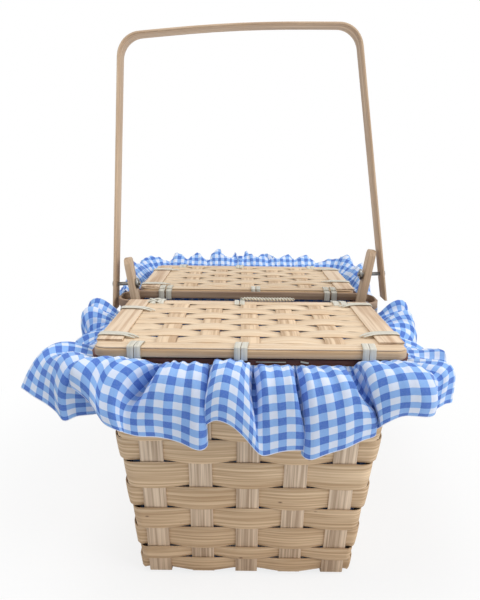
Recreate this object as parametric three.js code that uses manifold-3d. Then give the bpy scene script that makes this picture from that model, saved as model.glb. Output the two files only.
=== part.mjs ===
// A picnic basket of flat wood splints with two hinged lids, a swinging bail
// handle and a gathered cotton lining.
// Millimetres. +Z is up, X runs across the basket and Y along it. The origin is
// the middle of the flat underside, on the surface that the basket stands on.
import * as THREE from 'three';
import { mergeVertices } from 'three/addons/utils/BufferGeometryUtils.js';
import Module from 'manifold-3d';

const wasm = await Module();
wasm.setup();

// Play between pieces that touch on the real basket.
const CLEARANCE = 0.3;

// Body: a rounded rectangle that widens upwards.
const baseHalfWidth = 96.3;
const baseHalfLength = 146.9;
const wallSpread = 0.125;
const cornerAtBase = 4.2;
const cornerGrowth = 0.04;
const sideBulge = 6;
const rimTop = 227.6;

// Splints of the body.
const stakeWidth = 20.5;
const splintThickness = 1.2;
const stakeTop = 226;
const endStakePitch = 40.4;
const endStakeFan = 0.012;
const sideStakePitch = 42;
const sideStakeFan = 0.02;
const stakesEachSide = { end: 2, side: 3 };
const baseBend = 2.4;
const rowsStart = 5.2;
const rowPitches = [14.4, 13, 22.8, 21.7, 23.1, 26.2, 22.9, 23.3, 23.2, 23.2];
const rowGap = 0.8;

// Bent rim bands, one on each face of the wall.
const bandHeight = 18;
const bandThickness = 2.6;

// Centre hoop, whose long sides carry the lids.
const hoopHalfWidth = 24.4;
const hoopThickness = 2.8;
const hoopHeight = 8.5;
const hoopCorner = 18;
const hoopToBail = 4;

// Upright struts for the handle, pushed down between the wall and the inner band.
const strutWidth = 18;
const strutThickness = 7;
const strutLength = 148;
const strutAbovePivot = { left: 21.5, right: 33.5 };

// Swinging handle: a bent strip that leans a little to the left.
const pivotAboveRim = 28.9;
const bailRoll = THREE.MathUtils.degToRad(3);
const bailSplay = THREE.MathUtils.degToRad(6.4);
const strutToBail = 13.765;
const bailTop = 254;
const bailArch = 3;
const bailCorner = 25;
const bailThickness = 3;
const bailWidth = 24;
const bailTail = 28;

// Bolts that carry the handle.
const boltRadius = 2;
const boltHeadRadius = 4;
const boltHeadHeight = 2.2;
const nutRadius = 6;
const nutHeight = 3.2;
const boltPastNut = 0.8;

// Lids. They reach a little past the rim at the ends and the sides.
const lidEndReach = 3.7;
const lidSideReach = 0.25;
const lidCorner = 10;
const railWidth = 8;
const railHeight = 6.8;
const edgeBand = 13.6;
const lidStripPitch = 34.5;
const lidStripWidth = 16;
const lidStripsEachSide = 2;
const lidRowCount = 7;
const lidRowGap = 0.4;
const lidStripEndInset = 1;
const boardWidth = 21;
const boardThickness = 1.5;
const boardFrontInset = 2;
const boardBackInset = 3;

// Lashings of flat cane.
const tieThickness = 1.1;
const tieWidth = 11;
const lashWidth = 15;
const lashToBoard = 1;
const sideTieInset = { front: [33, 32], back: [33, 35] };
const middleTieShift = { front: -8, back: 9 };

// Cotton lining, hung inside the inner band.
const clothThickness = 1.2;
const liningTop = 222;
const liningFold = 1.4;
const liningFoldsPerFace = { end: 6, side: 8 };
const liningBaseInset = 5;
const liningBaseRise = 5;
const liningEase = { below: 40, above: 10, near: 8, far: 14 };

// Gathered frill, in two halves with a gap at each end of the handle. It is a row
// of folds, in order round the basket.
const frillTop = 223;
const frillDepth = 87;
const frillThickness = 1.4;
const frillSteps = 6;
const foldHandle = { front: 0.48, back: 0.67 };
const hemHandlePart = 0.8;

// The folds of the front frill. Each has its side of the basket, its place there
// from -1 to 1, or from 0 to 1 round a corner, and three directions as outwards,
// sideways and upwards: the way the cloth leaves its heading, where its hem ends as
// a part of the depth, and the way back up from the hem.
const frontFolds = [
  ['left', -0.165, [0.75, 0, 0.66], [0.31, 0, -0.22], [0.41, 0, 0.91]],
  ['left', -0.21, [0.62, 0.05, 0.78], [0.36, 0.02, -0.21], [0.29, 0, 0.96]],
  ['left', -0.28, [0.94, 0, 0.35], [0.25, 0.02, -0.31], [0.2, 0, 0.98]],
  ['left', -0.36, [0.73, 0.06, 0.68], [0.32, 0.07, -0.26], [0.29, 0, 0.96]],
  ['left', -0.46, [0.94, 0, -0.35], [0.2, 0.07, -0.59], [0, 0, 1]],
  ['left', -0.57, [0.99, 0.12, 0], [0.29, 0.07, -0.66], [0.29, 0, 0.96]],
  ['left', -0.69, [0.87, 0, -0.49], [0.22, 0.09, -0.67], [0, 0, 1]],
  ['left', -0.82, [0.95, 0.28, -0.11], [0.38, 0.18, -0.61], [0.29, 0, 0.96]],
  ['left', -0.94, [0.81, 0.34, 0.47], [0.54, 0.46, -0.2], [-0.32, -0.38, 0.87]],
  ['frontLeft', 0.07, [0.85, 0.44, 0.28], [0.47, 0.33, -0.25], [-0.24, -0.28, 0.93]],
  ['frontLeft', 0.26, [0.84, 0.31, 0.44], [0.47, 0.19, -0.28], [-0.2, -0.14, 0.97]],
  ['frontLeft', 0.44, [0.78, 0.16, 0.6], [0.47, 0.05, -0.31], [-0.15, -0.01, 0.99]],
  ['frontLeft', 0.6, [0.8, 0.03, 0.6], [0.43, -0.05, -0.37], [0.05, -0.01, 1]],
  ['frontLeft', 0.75, [0.84, -0.11, 0.53], [0.39, -0.15, -0.43], [0.24, -0.02, 0.97]],
  ['frontLeft', 0.9, [0.85, -0.33, -0.22], [0.3, -0.18, -0.41], [0, -0.01, 1]],
  ['front', -0.99, [0.7, -0.35, -0.6], [0.17, -0.08, -0.42], [-0.2, 0, 0.98]],
  ['front', -0.91, [0.69, -0.46, 0.56], [0.38, -0.33, -0.07], [0.62, 0, 0.78]],
  ['front', -0.85, [0.68, -0.41, 0.61], [0.4, -0.29, -0.18], [0.44, -0.11, 0.89]],
  ['front', -0.75, [0.7, -0.38, 0.6], [0.34, -0.31, -0.43], [0.3, -0.3, 0.9]],
  ['front', -0.62, [0.61, -0.35, -0.71], [0.29, -0.31, -0.53], [0, -0.1, 1]],
  ['front', -0.56, [0.84, -0.12, 0.53], [0.29, -0.16, -0.59], [0.22, -0.11, 0.97]],
  ['front', -0.44, [0.82, 0, 0.57], [0.3, -0.08, -0.64], [0.22, 0, 0.98]],
  ['front', -0.32, [0.85, 0, 0.53], [0.32, -0.03, -0.67], [0.22, 0, 0.98]],
  ['front', -0.28, [0.41, 0, -0.91], [0.23, -0.05, -0.61], [0, 0, 1]],
  ['front', -0.25, [0.74, 0, 0.67], [0.33, -0.07, -0.44], [0.31, 0.1, 0.94]],
  ['front', -0.16, [0.72, 0, 0.69], [0.37, -0.09, -0.37], [0.32, 0, 0.95]],
  ['front', -0.07, [0.76, 0, 0.65], [0.36, -0.08, -0.41], [0.32, 0, 0.95]],
  ['front', -0.01, [0.84, 0, 0.54], [0.33, -0.02, -0.57], [0.22, 0, 0.98]],
  ['front', 0.02, [0.49, 0, -0.87], [0.3, 0.03, -0.69], [0, 0, 1]],
  ['front', 0.05, [0.92, 0, 0.4], [0.29, 0.06, -0.74], [0.11, 0, 0.99]],
  ['front', 0.17, [0.9, 0, 0.43], [0.29, 0.06, -0.7], [0.22, 0, 0.98]],
  ['front', 0.28, [0.93, 0, 0.36], [0.28, 0.08, -0.68], [0.22, 0, 0.98]],
  ['front', 0.32, [0.49, 0, -0.87], [0.23, 0.08, -0.74], [0, 0, 1]],
  ['front', 0.35, [0.94, 0, 0.34], [0.32, 0.09, -0.75], [0.22, 0, 0.98]],
  ['front', 0.49, [0.93, 0.05, 0.36], [0.31, 0.14, -0.67], [0.22, 0, 0.98]],
  ['front', 0.64, [0.94, 0.09, 0.32], [0.29, 0.18, -0.6], [0.22, 0, 0.98]],
  ['front', 0.68, [0.84, 0.11, -0.53], [0.25, 0.26, -0.57], [0.11, 0, 0.99]],
  ['front', 0.71, [0.52, 0.21, -0.83], [0.17, 0.25, -0.54], [-0.1, -0.1, 0.99]],
  ['front', 0.76, [0.71, 0.1, 0.7], [0.33, 0.18, -0.43], [0.31, -0.21, 0.93]],
  ['front', 0.87, [0.7, 0.22, 0.68], [0.34, 0.21, -0.33], [0.45, 0, 0.89]],
  ['front', 0.99, [0.68, 0.37, 0.63], [0.3, 0.31, -0.33], [0.45, 0, 0.89]],
  ['frontRight', 0.22, [0.84, 0.3, 0.1], [0.3, 0.2, -0.33], [-0.09, 0.03, 1]],
  ['frontRight', 0.38, [0.94, 0.17, -0.12], [0.33, 0.09, -0.32], [-0.01, -0.03, 1]],
  ['frontRight', 0.54, [0.99, 0.02, 0.16], [0.36, -0.01, -0.31], [0.07, -0.08, 0.99]],
  ['frontRight', 0.7, [0.96, -0.15, 0.21], [0.38, -0.1, -0.3], [0.03, -0.04, 1]],
  ['frontRight', 0.86, [0.91, -0.32, 0.26], [0.4, -0.2, -0.3], [0, 0, 1]],
  ['right', -0.96, [0.88, -0.33, -0.33], [0.32, -0.23, -0.26], [0, 0, 1]],
  ['right', -0.89, [0.96, -0.24, 0.14], [0.39, -0.23, -0.18], [-0.22, 0.11, 0.97]],
  ['right', -0.75, [0.89, 0, -0.45], [0.25, -0.16, -0.54], [0, 0, 1]],
  ['right', -0.63, [0.98, -0.12, -0.12], [0.32, -0.09, -0.63], [0.2, 0, 0.98]],
  ['right', -0.52, [0.89, 0, -0.45], [0.21, -0.07, -0.63], [0, 0, 1]],
  ['right', -0.42, [0.99, 0, 0.12], [0.29, -0.07, -0.54], [0.2, 0, 0.98]],
  ['right', -0.35, [0.76, 0, 0.65], [0.29, -0.02, -0.22], [0.29, 0, 0.96]],
  ['right', -0.27, [0.94, 0, 0.35], [0.24, -0.02, -0.31], [0, 0, 1]],
  ['right', -0.21, [0.58, -0.05, 0.82], [0.34, -0.02, -0.17], [0.24, 0, 0.97]],
  ['right', -0.165, [0.79, 0, 0.61], [0.28, 0, -0.2], [0.29, 0, 0.96]],
];

// Shapes of the back frill's folds: at the middle of the end, at a corner and at
// the gap. Each is given as above.
const backShapes = {
  ridge: {
    middle: [[0.85, 0, 0.53], [0.4, 0, -0.04], [0.05, 0, 1]],
    corner: [[0.7, 0, 0.71], [0.3, 0, -0.18], [0.1, 0, 0.99]],
    gap: [[0.16, 0, 0.99], [0.16, 0, -0.51], [0.1, 0, 1]],
  },
  slope: {
    middle: [[0.8, 0, 0.6], [0.3, 0.08, -0.09], [0.05, 0, 1]],
    corner: [[0.7, 0, 0.71], [0.25, 0, -0.28], [0.1, 0, 0.99]],
    gap: [[0.2, 0, 0.98], [0.14, 0, -0.57], [0.1, 0, 1]],
  },
  dip: {
    middle: [[0.78, 0, 0.63], [0.2, 0, -0.17], [0.1, 0, 0.99]],
    corner: [[0.8, 0, 0.6], [0.2, 0, -0.4], [0, 0, 1]],
    gap: [[0.8, 0, 0.6], [0.1, 0, -0.71], [0, 0, 1]],
  },
};

// The folds of the back frill: side, place, shape and how much higher its hem lies.
const backFolds = [
  ['right', 0.155, 'dip', -0.08], ['right', 0.21, 'slope', -0.22], ['right', 0.3, 'dip', -0.08],
  ['right', 0.37, 'slope', -0.1], ['right', 0.44, 'ridge', 0], ['right', 0.54, 'dip', 0],
  ['right', 0.62, 'slope', 0.03], ['right', 0.69, 'ridge', 0.02], ['right', 0.79, 'dip', 0],
  ['right', 0.87, 'slope', 0.05], ['right', 0.95, 'ridge', 0.03], ['backRight', 0.15, 'dip', 0.05],
  ['backRight', 0.33, 'slope', 0.07], ['backRight', 0.5, 'ridge', 0.09], ['backRight', 0.68, 'slope', 0.05],
  ['backRight', 0.85, 'slope', 0.02], ['back', 0.93, 'dip', 0],
  ['back', 0.87, 'slope', 0.02], ['back', 0.81, 'ridge', 0.05], ['back', 0.74, 'slope', 0.05],
  ['back', 0.66, 'dip', 0.05], ['back', 0.57, 'ridge', 0.06], ['back', 0.5, 'slope', 0.04],
  ['back', 0.43, 'dip', 0.02], ['back', 0.36, 'slope', 0.05], ['back', 0.29, 'ridge', 0.08],
  ['back', 0.22, 'slope', 0.06], ['back', 0.14, 'dip', 0.02], ['back', 0.07, 'slope', 0.05],
  ['back', 0, 'ridge', 0.08], ['back', -0.08, 'dip', 0.07], ['back', -0.15, 'ridge', 0.09],
  ['back', -0.24, 'dip', 0.02], ['back', -0.31, 'slope', 0.07], ['back', -0.37, 'ridge', 0.12],
  ['back', -0.45, 'slope', 0.06], ['back', -0.53, 'dip', 0], ['back', -0.6, 'slope', 0.05],
  ['back', -0.66, 'ridge', 0.07], ['back', -0.73, 'slope', 0.05], ['back', -0.8, 'dip', 0.01],
  ['back', -0.87, 'slope', 0.05], ['back', -0.94, 'ridge', 0.05], ['backLeft', 0.1, 'dip', 0.02],
  ['backLeft', 0.28, 'slope', 0.02], ['backLeft', 0.45, 'ridge', 0.02], ['backLeft', 0.62, 'slope', 0.01],
  ['backLeft', 0.8, 'dip', 0], ['left', 0.96, 'slope', 0.02],
  ['left', 0.89, 'ridge', 0.03], ['left', 0.8, 'dip', 0.02], ['left', 0.72, 'slope', 0.03],
  ['left', 0.65, 'ridge', 0.02], ['left', 0.55, 'dip', 0], ['left', 0.47, 'slope', 0.01],
  ['left', 0.4, 'ridge', 0.02], ['left', 0.31, 'dip', 0], ['left', 0.22, 'slope', -0.01],
  ['left', 0.155, 'slope', -0.08],
];

const crossingOffset = splintThickness + CLEARANCE;
const outerBandFace = crossingOffset + splintThickness / 2 + CLEARANCE;
const innerBandFace = outerBandFace + bandThickness;
const strutFace = outerBandFace;
const lidBase = rimTop + tieThickness + 2 * CLEARANCE;
const pivotHeight = rimTop + pivotAboveRim;
const strutTop = {
  left: pivotHeight + strutAbovePivot.left,
  right: pivotHeight + strutAbovePivot.right,
};
const strutFoot = Math.min(strutTop.left, strutTop.right) - strutLength;

const wood = {
  stake: { color: 0xd0ab82, roughness: 0.72 },
  weaver: { color: 0xd9b88f, roughness: 0.7 },
  band: { color: 0x9c6f4c, roughness: 0.7 },
  frame: { color: 0xd8bb94, roughness: 0.6 },
  lid: { color: 0xe6cfac, roughness: 0.62 },
  handle: { color: 0xc9a37c, roughness: 0.55 },
};
const cloth = { color: 0x6f9ae0, roughness: 0.9 };
const cane = { color: 0xdcdccb, roughness: 0.5 };
const metal = { color: 0xa9a9a6, roughness: 0.35, metalness: 0.9 };

const basket = new THREE.Group();

function material(look) {
  return new THREE.MeshStandardMaterial({ metalness: 0, ...look });
}

function addPiece(parent, name, geometry, look) {
  const mesh = new THREE.Mesh(geometry, material(look));
  mesh.name = name;
  parent.add(mesh);
  return mesh;
}

// Turns a closed surface inside out when its faces point inwards.
function faceOutwards(geometry) {
  const position = geometry.getAttribute('position');
  const index = geometry.getIndex().array;
  const corner = [new THREE.Vector3(), new THREE.Vector3(), new THREE.Vector3()];
  let volume = 0;
  for (let i = 0; i < index.length; i += 3) {
    corner.forEach((point, k) => point.fromBufferAttribute(position, index[i + k]));
    volume += corner[0].dot(corner[1].clone().cross(corner[2]));
  }
  if (volume < 0) {
    for (let i = 0; i < index.length; i += 3) {
      [index[i], index[i + 1]] = [index[i + 1], index[i]];
    }
  }
  return geometry;
}

// A strip through a row of sections. Each section lists the points of its outer
// face and then those of its inner face backwards. Both faces are split along the
// same diagonals. An open strip gets end caps.
function stripThrough(sections, closed) {
  const size = sections[0].length;
  const count = sections.length;
  const points = sections.flat().flatMap((point) => point.toArray());
  const triangles = [];
  const quad = (a, b, c, d) => triangles.push(a, b, c, a, c, d);
  for (let i = 0; i < (closed ? count : count - 1); i += 1) {
    const here = i * size;
    const next = ((i + 1) % count) * size;
    for (let k = 0; k < size; k += 1) {
      const after = (k + 1) % size;
      if (k < size / 2) quad(here + k, here + after, next + after, next + k);
      else quad(here + after, next + after, next + k, here + k);
    }
  }
  if (!closed) {
    const last = (count - 1) * size;
    for (let k = 0; k < size / 2 - 1; k += 1) {
      quad(k, size - 1 - k, size - 2 - k, k + 1);
      quad(last + k, last + k + 1, last + size - 2 - k, last + size - 1 - k);
    }
  }
  const geometry = new THREE.BufferGeometry();
  geometry.setAttribute('position', new THREE.Float32BufferAttribute(points, 3));
  geometry.setIndex(triangles);
  return faceOutwards(geometry);
}

// Booleans need a closed mesh whose shared vertices are merged.
function toManifold(geometry) {
  const bare = geometry.clone();
  bare.deleteAttribute('normal');
  bare.deleteAttribute('uv');
  const merged = mergeVertices(bare, 1e-4);
  const vertProperties = new Float32Array(merged.getAttribute('position').array);
  const triVerts = new Uint32Array(merged.getIndex().array);
  return new wasm.Manifold(new wasm.Mesh({ numProp: 3, vertProperties, triVerts }));
}

function fromManifold(solid) {
  const mesh = solid.getMesh();
  const geometry = new THREE.BufferGeometry();
  geometry.setAttribute('position', new THREE.BufferAttribute(mesh.vertProperties, 3));
  geometry.setIndex(new THREE.BufferAttribute(mesh.triVerts, 1));
  return geometry;
}

function roundedRectangle(halfWidth, halfLength, radius, path) {
  const right = Math.PI / 2;
  const corners = [[1, 1, 0], [-1, 1, right], [-1, -1, 2 * right], [1, -1, 3 * right]];
  path.moveTo(halfWidth, halfLength - radius);
  corners.forEach(([sx, sy, start]) => {
    path.absarc(sx * (halfWidth - radius), sy * (halfLength - radius), radius, start, start + right);
  });
  path.closePath();
  return path;
}

// Outline of the wall's middle surface at a height.
function halfWidth(z) {
  return baseHalfWidth + wallSpread * z;
}

function halfLength(z) {
  return baseHalfLength + wallSpread * z;
}

// A point of the wall. `angle` is the direction that the wall faces there and
// `along` the place on a straight stretch. Without it the point is on the corner
// that lies in the direction `corner`. `out` is measured outwards from the middle
// surface.
function wallPoint({ angle, along, corner = angle }, z, out) {
  const radius = cornerAtBase + cornerGrowth * z;
  const nx = Math.cos(angle);
  const ny = Math.sin(angle);
  let x = Math.sign(Math.cos(corner)) * (halfWidth(z) - radius);
  let y = Math.sign(Math.sin(corner)) * (halfLength(z) - radius);
  if (along !== undefined && Math.abs(nx) < 0.5) x = along;
  if (along !== undefined && Math.abs(ny) < 0.5) y = along;
  x += nx * (radius + out);
  y += ny * (radius + out);
  const middle = 1 - (y / (halfLength(z) + out)) ** 2;
  x += nx * sideBulge * (z / rimTop) * middle;
  return new THREE.Vector3(x, y, z);
}

// The walls in order round the basket: front end, right side, back end, left side.
// `step` says which way along the wall the round goes.
const FACES = [
  { angle: -Math.PI / 2, step: 1, axis: 'end' },
  { angle: 0, step: 1, axis: 'side' },
  { angle: Math.PI / 2, step: -1, axis: 'end' },
  { angle: Math.PI, step: -1, axis: 'side' },
];

function stakePlace(axis, k, z) {
  const pitch = axis === 'end' ? endStakePitch + endStakeFan * z : sideStakePitch + sideStakeFan * z;
  return k * pitch;
}

// A station on the corner that follows a face.
function cornerStation(face, t) {
  return { angle: face.angle + (t * Math.PI) / 2, corner: face.angle + Math.PI / 4 };
}

// Round the wall once: two stations at each stake, three on each corner.
function wallStations(z, offsetAtStake, reach) {
  const stations = [];
  FACES.forEach((face, f) => {
    const count = stakesEachSide[face.axis];
    for (let i = -count; i <= count; i += 1) {
      const k = i * face.step;
      const out = offsetAtStake(face, k);
      const place = stakePlace(face.axis, k, z);
      stations.push({ angle: face.angle, along: place - face.step * reach, out });
      stations.push({ angle: face.angle, along: place + face.step * reach, out });
    }
    const next = FACES[(f + 1) % FACES.length];
    const first = offsetAtStake(face, face.step * count);
    const last = offsetAtStake(next, -next.step * stakesEachSide[next.axis]);
    [0, 0.5, 1].forEach((t) => {
      const out = first + (last - first) * t;
      stations.push({ ...cornerStation(face, t), out });
    });
  });
  return stations;
}

// A band round the wall between two heights.
function bandRound(stations, low, high, thickness) {
  const sections = stations.map((station) => [
    wallPoint(station, low, station.out + thickness / 2),
    wallPoint(station, high, station.out + thickness / 2),
    wallPoint(station, high, station.out - thickness / 2),
    wallPoint(station, low, station.out - thickness / 2),
  ]);
  return stripThrough(sections, true);
}

// Weaving rows: each passes in front of one stake and behind the next.
function isOutside(k, row) {
  return (Math.abs(k) + row) % 2 === 1;
}

function addWeavers(parent) {
  let low = rowsStart;
  rowPitches.forEach((pitch, row) => {
    const middle = low + pitch / 2;
    const side = (face, k) => (isOutside(k, row) ? crossingOffset : -crossingOffset);
    const stations = wallStations(middle, side, stakeWidth / 2 + 2 * CLEARANCE);
    const geometry = bandRound(stations, low, low + pitch - rowGap, splintThickness);
    addPiece(parent, `weaver_row_${row + 1}`, geometry, wood.weaver);
    low += pitch;
  });
}

// One section across a splint that runs down a wall or along the base.
function stakeSection(left, right, outward) {
  const half = outward.clone().multiplyScalar(splintThickness / 2);
  return [left.clone().add(half), right.clone().add(half), right.clone().sub(half), left.clone().sub(half)];
}

// A stake goes down one wall, bends under the basket and goes up the other wall.
function stakeGeometry(axis, k, baseSteps) {
  const end = axis === 'end';
  const angle = end ? Math.PI / 2 : 0;
  const basePoint = (reach, across, z) => (
    end ? new THREE.Vector3(across, reach, z) : new THREE.Vector3(reach, across, z));
  const half = stakeWidth / 2;
  const down = (sign) => {
    const facing = sign > 0 ? angle : angle + Math.PI;
    const bendZ = baseSteps[0].z + baseBend;
    const sections = [stakeTop, (stakeTop + bendZ) / 2, bendZ].map((z) => {
      const place = stakePlace(axis, k, z);
      const out = splintThickness / 2;
      return [
        wallPoint({ angle: facing, along: place - half }, z, out),
        wallPoint({ angle: facing, along: place + half }, z, out),
        wallPoint({ angle: facing, along: place + half }, z, -out),
        wallPoint({ angle: facing, along: place - half }, z, -out),
      ];
    });
    const place = stakePlace(axis, k, 0);
    const wall = wallPoint({ angle: facing, along: place }, bendZ, 0);
    const reach = Math.abs(end ? wall.y : wall.x);
    [Math.PI / 4, Math.PI / 2].forEach((turn) => {
      const distance = sign * (reach - baseBend * (1 - Math.cos(turn)));
      const z = bendZ - baseBend * Math.sin(turn);
      const outward = basePoint(sign * Math.cos(turn), 0, -Math.sin(turn));
      const left = basePoint(distance, place - half, z);
      const right = basePoint(distance, place + half, z);
      sections.push(stakeSection(left, right, outward));
    });
    return sections;
  };
  const place = stakePlace(axis, k, 0);
  const under = new THREE.Vector3(0, 0, -1);
  const across = baseSteps.map(({ at, z }) => (
    stakeSection(basePoint(at, place - half, z), basePoint(at, place + half, z), under)));
  return stripThrough([...down(-1), ...across, ...down(1).reverse()], false);
}

const baseLevel = crossingOffset + splintThickness / 2;

function addStakes(parent) {
  const { end, side } = stakesEachSide;
  for (let k = -end; k <= end; k += 1) {
    const flat = [{ at: -baseHalfLength / 2, z: baseLevel }, { at: baseHalfLength / 2, z: baseLevel }];
    addPiece(parent, `long_stake_${k + end + 1}`, stakeGeometry('end', k, flat), wood.stake);
  }
  for (let k = -side; k <= side; k += 1) {
    const steps = [];
    for (let crossing = -end; crossing <= end; crossing += 1) {
      const over = Math.abs(crossing + k) % 2 === 1;
      const z = baseLevel + (over ? crossingOffset : -crossingOffset);
      const middle = stakePlace('end', crossing, 0);
      const reach = stakeWidth / 2 + CLEARANCE;
      steps.push({ at: middle - reach, z }, { at: middle + reach, z });
    }
    addPiece(parent, `cross_stake_${k + side + 1}`, stakeGeometry('side', k, steps), wood.stake);
  }
}

// Stations of a plain loop, with a step inwards round each strut.
const bumpFlat = strutWidth / 2 + 2;
const bumpRamp = 24;
const bumpDepth = strutThickness + CLEARANCE;
const quarterSteps = [80, 125];

function plainStations(out, bump, sideSteps) {
  const stations = [];
  FACES.forEach((face) => {
    const places = face.axis === 'end' ? [0] : sideSteps;
    places.forEach((place) => {
      const inwards = face.axis === 'side' && Math.abs(place) <= bumpFlat ? bump : 0;
      stations.push({ angle: face.angle, along: face.step * place, out: out - inwards });
    });
    [0, 1 / 3, 2 / 3, 1].forEach((t) => {
      stations.push({ ...cornerStation(face, t), out });
    });
  });
  return stations;
}

const halfSteps = [bumpFlat, bumpFlat + bumpRamp, ...quarterSteps];
const loopSteps = [...halfSteps.map((step) => -step).reverse(), ...halfSteps];

function addRim(parent) {
  const low = rimTop - bandHeight;
  const outer = plainStations(outerBandFace + bandThickness / 2, 0, loopSteps);
  addPiece(parent, 'outer_rim', bandRound(outer, low, rimTop, bandThickness), wood.band);
  const inner = plainStations(-outerBandFace - bandThickness / 2, bumpDepth, loopSteps);
  addPiece(parent, 'inner_rim', bandRound(inner, low, rimTop, bandThickness), wood.band);
}

// Length of a straight stretch of the wall, from its middle to the corner.
function straightHalf(axis, z) {
  return (axis === 'end' ? halfWidth(z) : halfLength(z)) - cornerAtBase - cornerGrowth * z;
}

// A solid through closed loops, each with as many points, closed at both ends.
function stackLoops(loops) {
  const count = loops[0].length;
  const centres = [loops[0], loops[loops.length - 1]].map((loop) => (
    loop.reduce((sum, point) => sum.add(point), new THREE.Vector3()).divideScalar(count)));
  const points = [...loops.flat(), ...centres].flatMap((point) => point.toArray());
  const lastLoop = (loops.length - 1) * count;
  const triangles = [];
  for (let i = 0; i < count; i += 1) {
    const next = (i + 1) % count;
    for (let level = 0; level < lastLoop; level += count) {
      triangles.push(level + i, level + next, level + count + next);
      triangles.push(level + i, level + count + next, level + count + i);
    }
    triangles.push(lastLoop + count, next, i);
    triangles.push(lastLoop + count + 1, lastLoop + i, lastLoop + next);
  }
  const geometry = new THREE.BufferGeometry();
  geometry.setAttribute('position', new THREE.Float32BufferAttribute(points, 3));
  geometry.setIndex(triangles);
  return faceOutwards(geometry);
}

// The lining's loop at a height. It hangs in shallow folds and steps round the
// struts once it is above their feet.
function liningLoop(z, out) {
  const rise = THREE.MathUtils.smoothstep(z, strutFoot - liningEase.below, strutFoot - liningEase.above);
  const points = [];
  FACES.forEach((face) => {
    const folds = liningFoldsPerFace[face.axis];
    const reach = straightHalf(face.axis, z);
    for (let i = -folds; i < folds; i += 1) {
      const along = face.step * ((i + 0.5) / folds) * reach;
      const full = bumpFlat + liningEase.near;
      const none = bumpFlat + bumpRamp + liningEase.far;
      const clear = 1 - THREE.MathUtils.smoothstep(Math.abs(along), full, none);
      const bump = face.axis === 'side' ? bumpDepth * rise * clear : 0;
      const fold = Math.abs(i) % 2 === 0 ? liningFold : 0;
      points.push(wallPoint({ angle: face.angle, along }, z, out - bump - fold));
    }
    [0.25, 0.75].forEach((t) => points.push(wallPoint(cornerStation(face, t), z, out)));
  });
  return points;
}

// One skin that goes up the outside, over the top edge and down the inside.
function addLining(parent) {
  const out = -innerBandFace - CLEARANCE;
  const base = 2 * baseLevel + CLEARANCE;
  const easing = [strutFoot - liningEase.below, strutFoot - liningEase.above];
  const heights = [base + liningBaseRise, ...easing, liningTop];
  const skin = (inset, low) => [
    liningLoop(low, out - inset - liningBaseInset),
    ...heights.map((z) => liningLoop(z, out - inset)),
  ];
  const inside = skin(clothThickness, base + clothThickness).reverse();
  addPiece(parent, 'lining', stackLoops([...skin(0, base), ...inside]), cloth);
}

// The wall that a fold's side names, or the one before its corner.
const STRAIGHTS = { front: FACES[0], right: FACES[1], back: FACES[2], left: FACES[3] };
const CORNERS = { frontRight: FACES[0], backRight: FACES[1], backLeft: FACES[2], frontLeft: FACES[3] };

function foldPlace(side, t) {
  if (side in CORNERS) return cornerStation(CORNERS[side], t);
  const { angle, axis } = STRAIGHTS[side];
  return { angle, along: t * straightHalf(axis, frillTop) };
}

const HALVINGS = 16;

// The line of one fold from heading to hem. Its two handles are lengthened by
// halving until the line is as long as the frill is deep.
function foldLine([side, t, start, hem, arrive], longestHandle) {
  const place = foldPlace(side, t);
  const root = wallPoint(place, frillTop, innerBandFace + 2 * CLEARANCE + frillThickness / 2);
  const outward = new THREE.Vector3(Math.cos(place.angle), Math.sin(place.angle), 0);
  const sideways = new THREE.Vector3(-outward.y, outward.x, 0);
  const direction = ([out, along, up]) => {
    return new THREE.Vector3(0, 0, up).addScaledVector(outward, out).addScaledVector(sideways, along);
  };
  const end = root.clone().addScaledVector(direction(hem), frillDepth);
  const lineWith = (handle) => {
    const leaving = root.clone().addScaledVector(direction(start).normalize(), handle);
    const arriving = end.clone().addScaledVector(direction(arrive).normalize(), hemHandlePart * handle);
    return new THREE.CubicBezierCurve3(root, leaving, arriving, end);
  };
  let short = 0;
  let long = longestHandle * frillDepth;
  for (let i = 0; i < HALVINGS; i += 1) {
    const middle = (short + long) / 2;
    if (lineWith(middle).getLength() < frillDepth) short = middle;
    else long = middle;
  }
  return lineWith(short).getSpacedPoints(frillSteps);
}

// A fold of the back frill, part way between the shapes of two of the key places.
function backFold([side, t, kind, lift]) {
  const { middle, corner, gap } = backShapes[kind];
  const from = side === 'back' ? middle : gap;
  const part = side in CORNERS ? 1 : t * t;
  const [start, hem, arrive] = from.map((direction, i) => {
    return direction.map((value, k) => value + (corner[i][k] - value) * part);
  });
  return [side, t, start, [hem[0], hem[1], hem[2] + lift], arrive];
}

const LEANS = 16;
const LEAN = 0.2;

// The way out of the cloth at a point where faces meet. It leans to the face that
// it suits least, so that the cloth keeps its two sides apart in a sharp fold.
function wayOut(faces) {
  const way = new THREE.Vector3();
  faces.forEach((face) => way.add(face));
  for (let i = 0; i < LEANS; i += 1) {
    way.normalize();
    const worst = faces.reduce((least, face) => (face.dot(way) < least.dot(way) ? face : least));
    way.addScaledVector(worst, LEAN);
  }
  return way.normalize();
}

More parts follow.
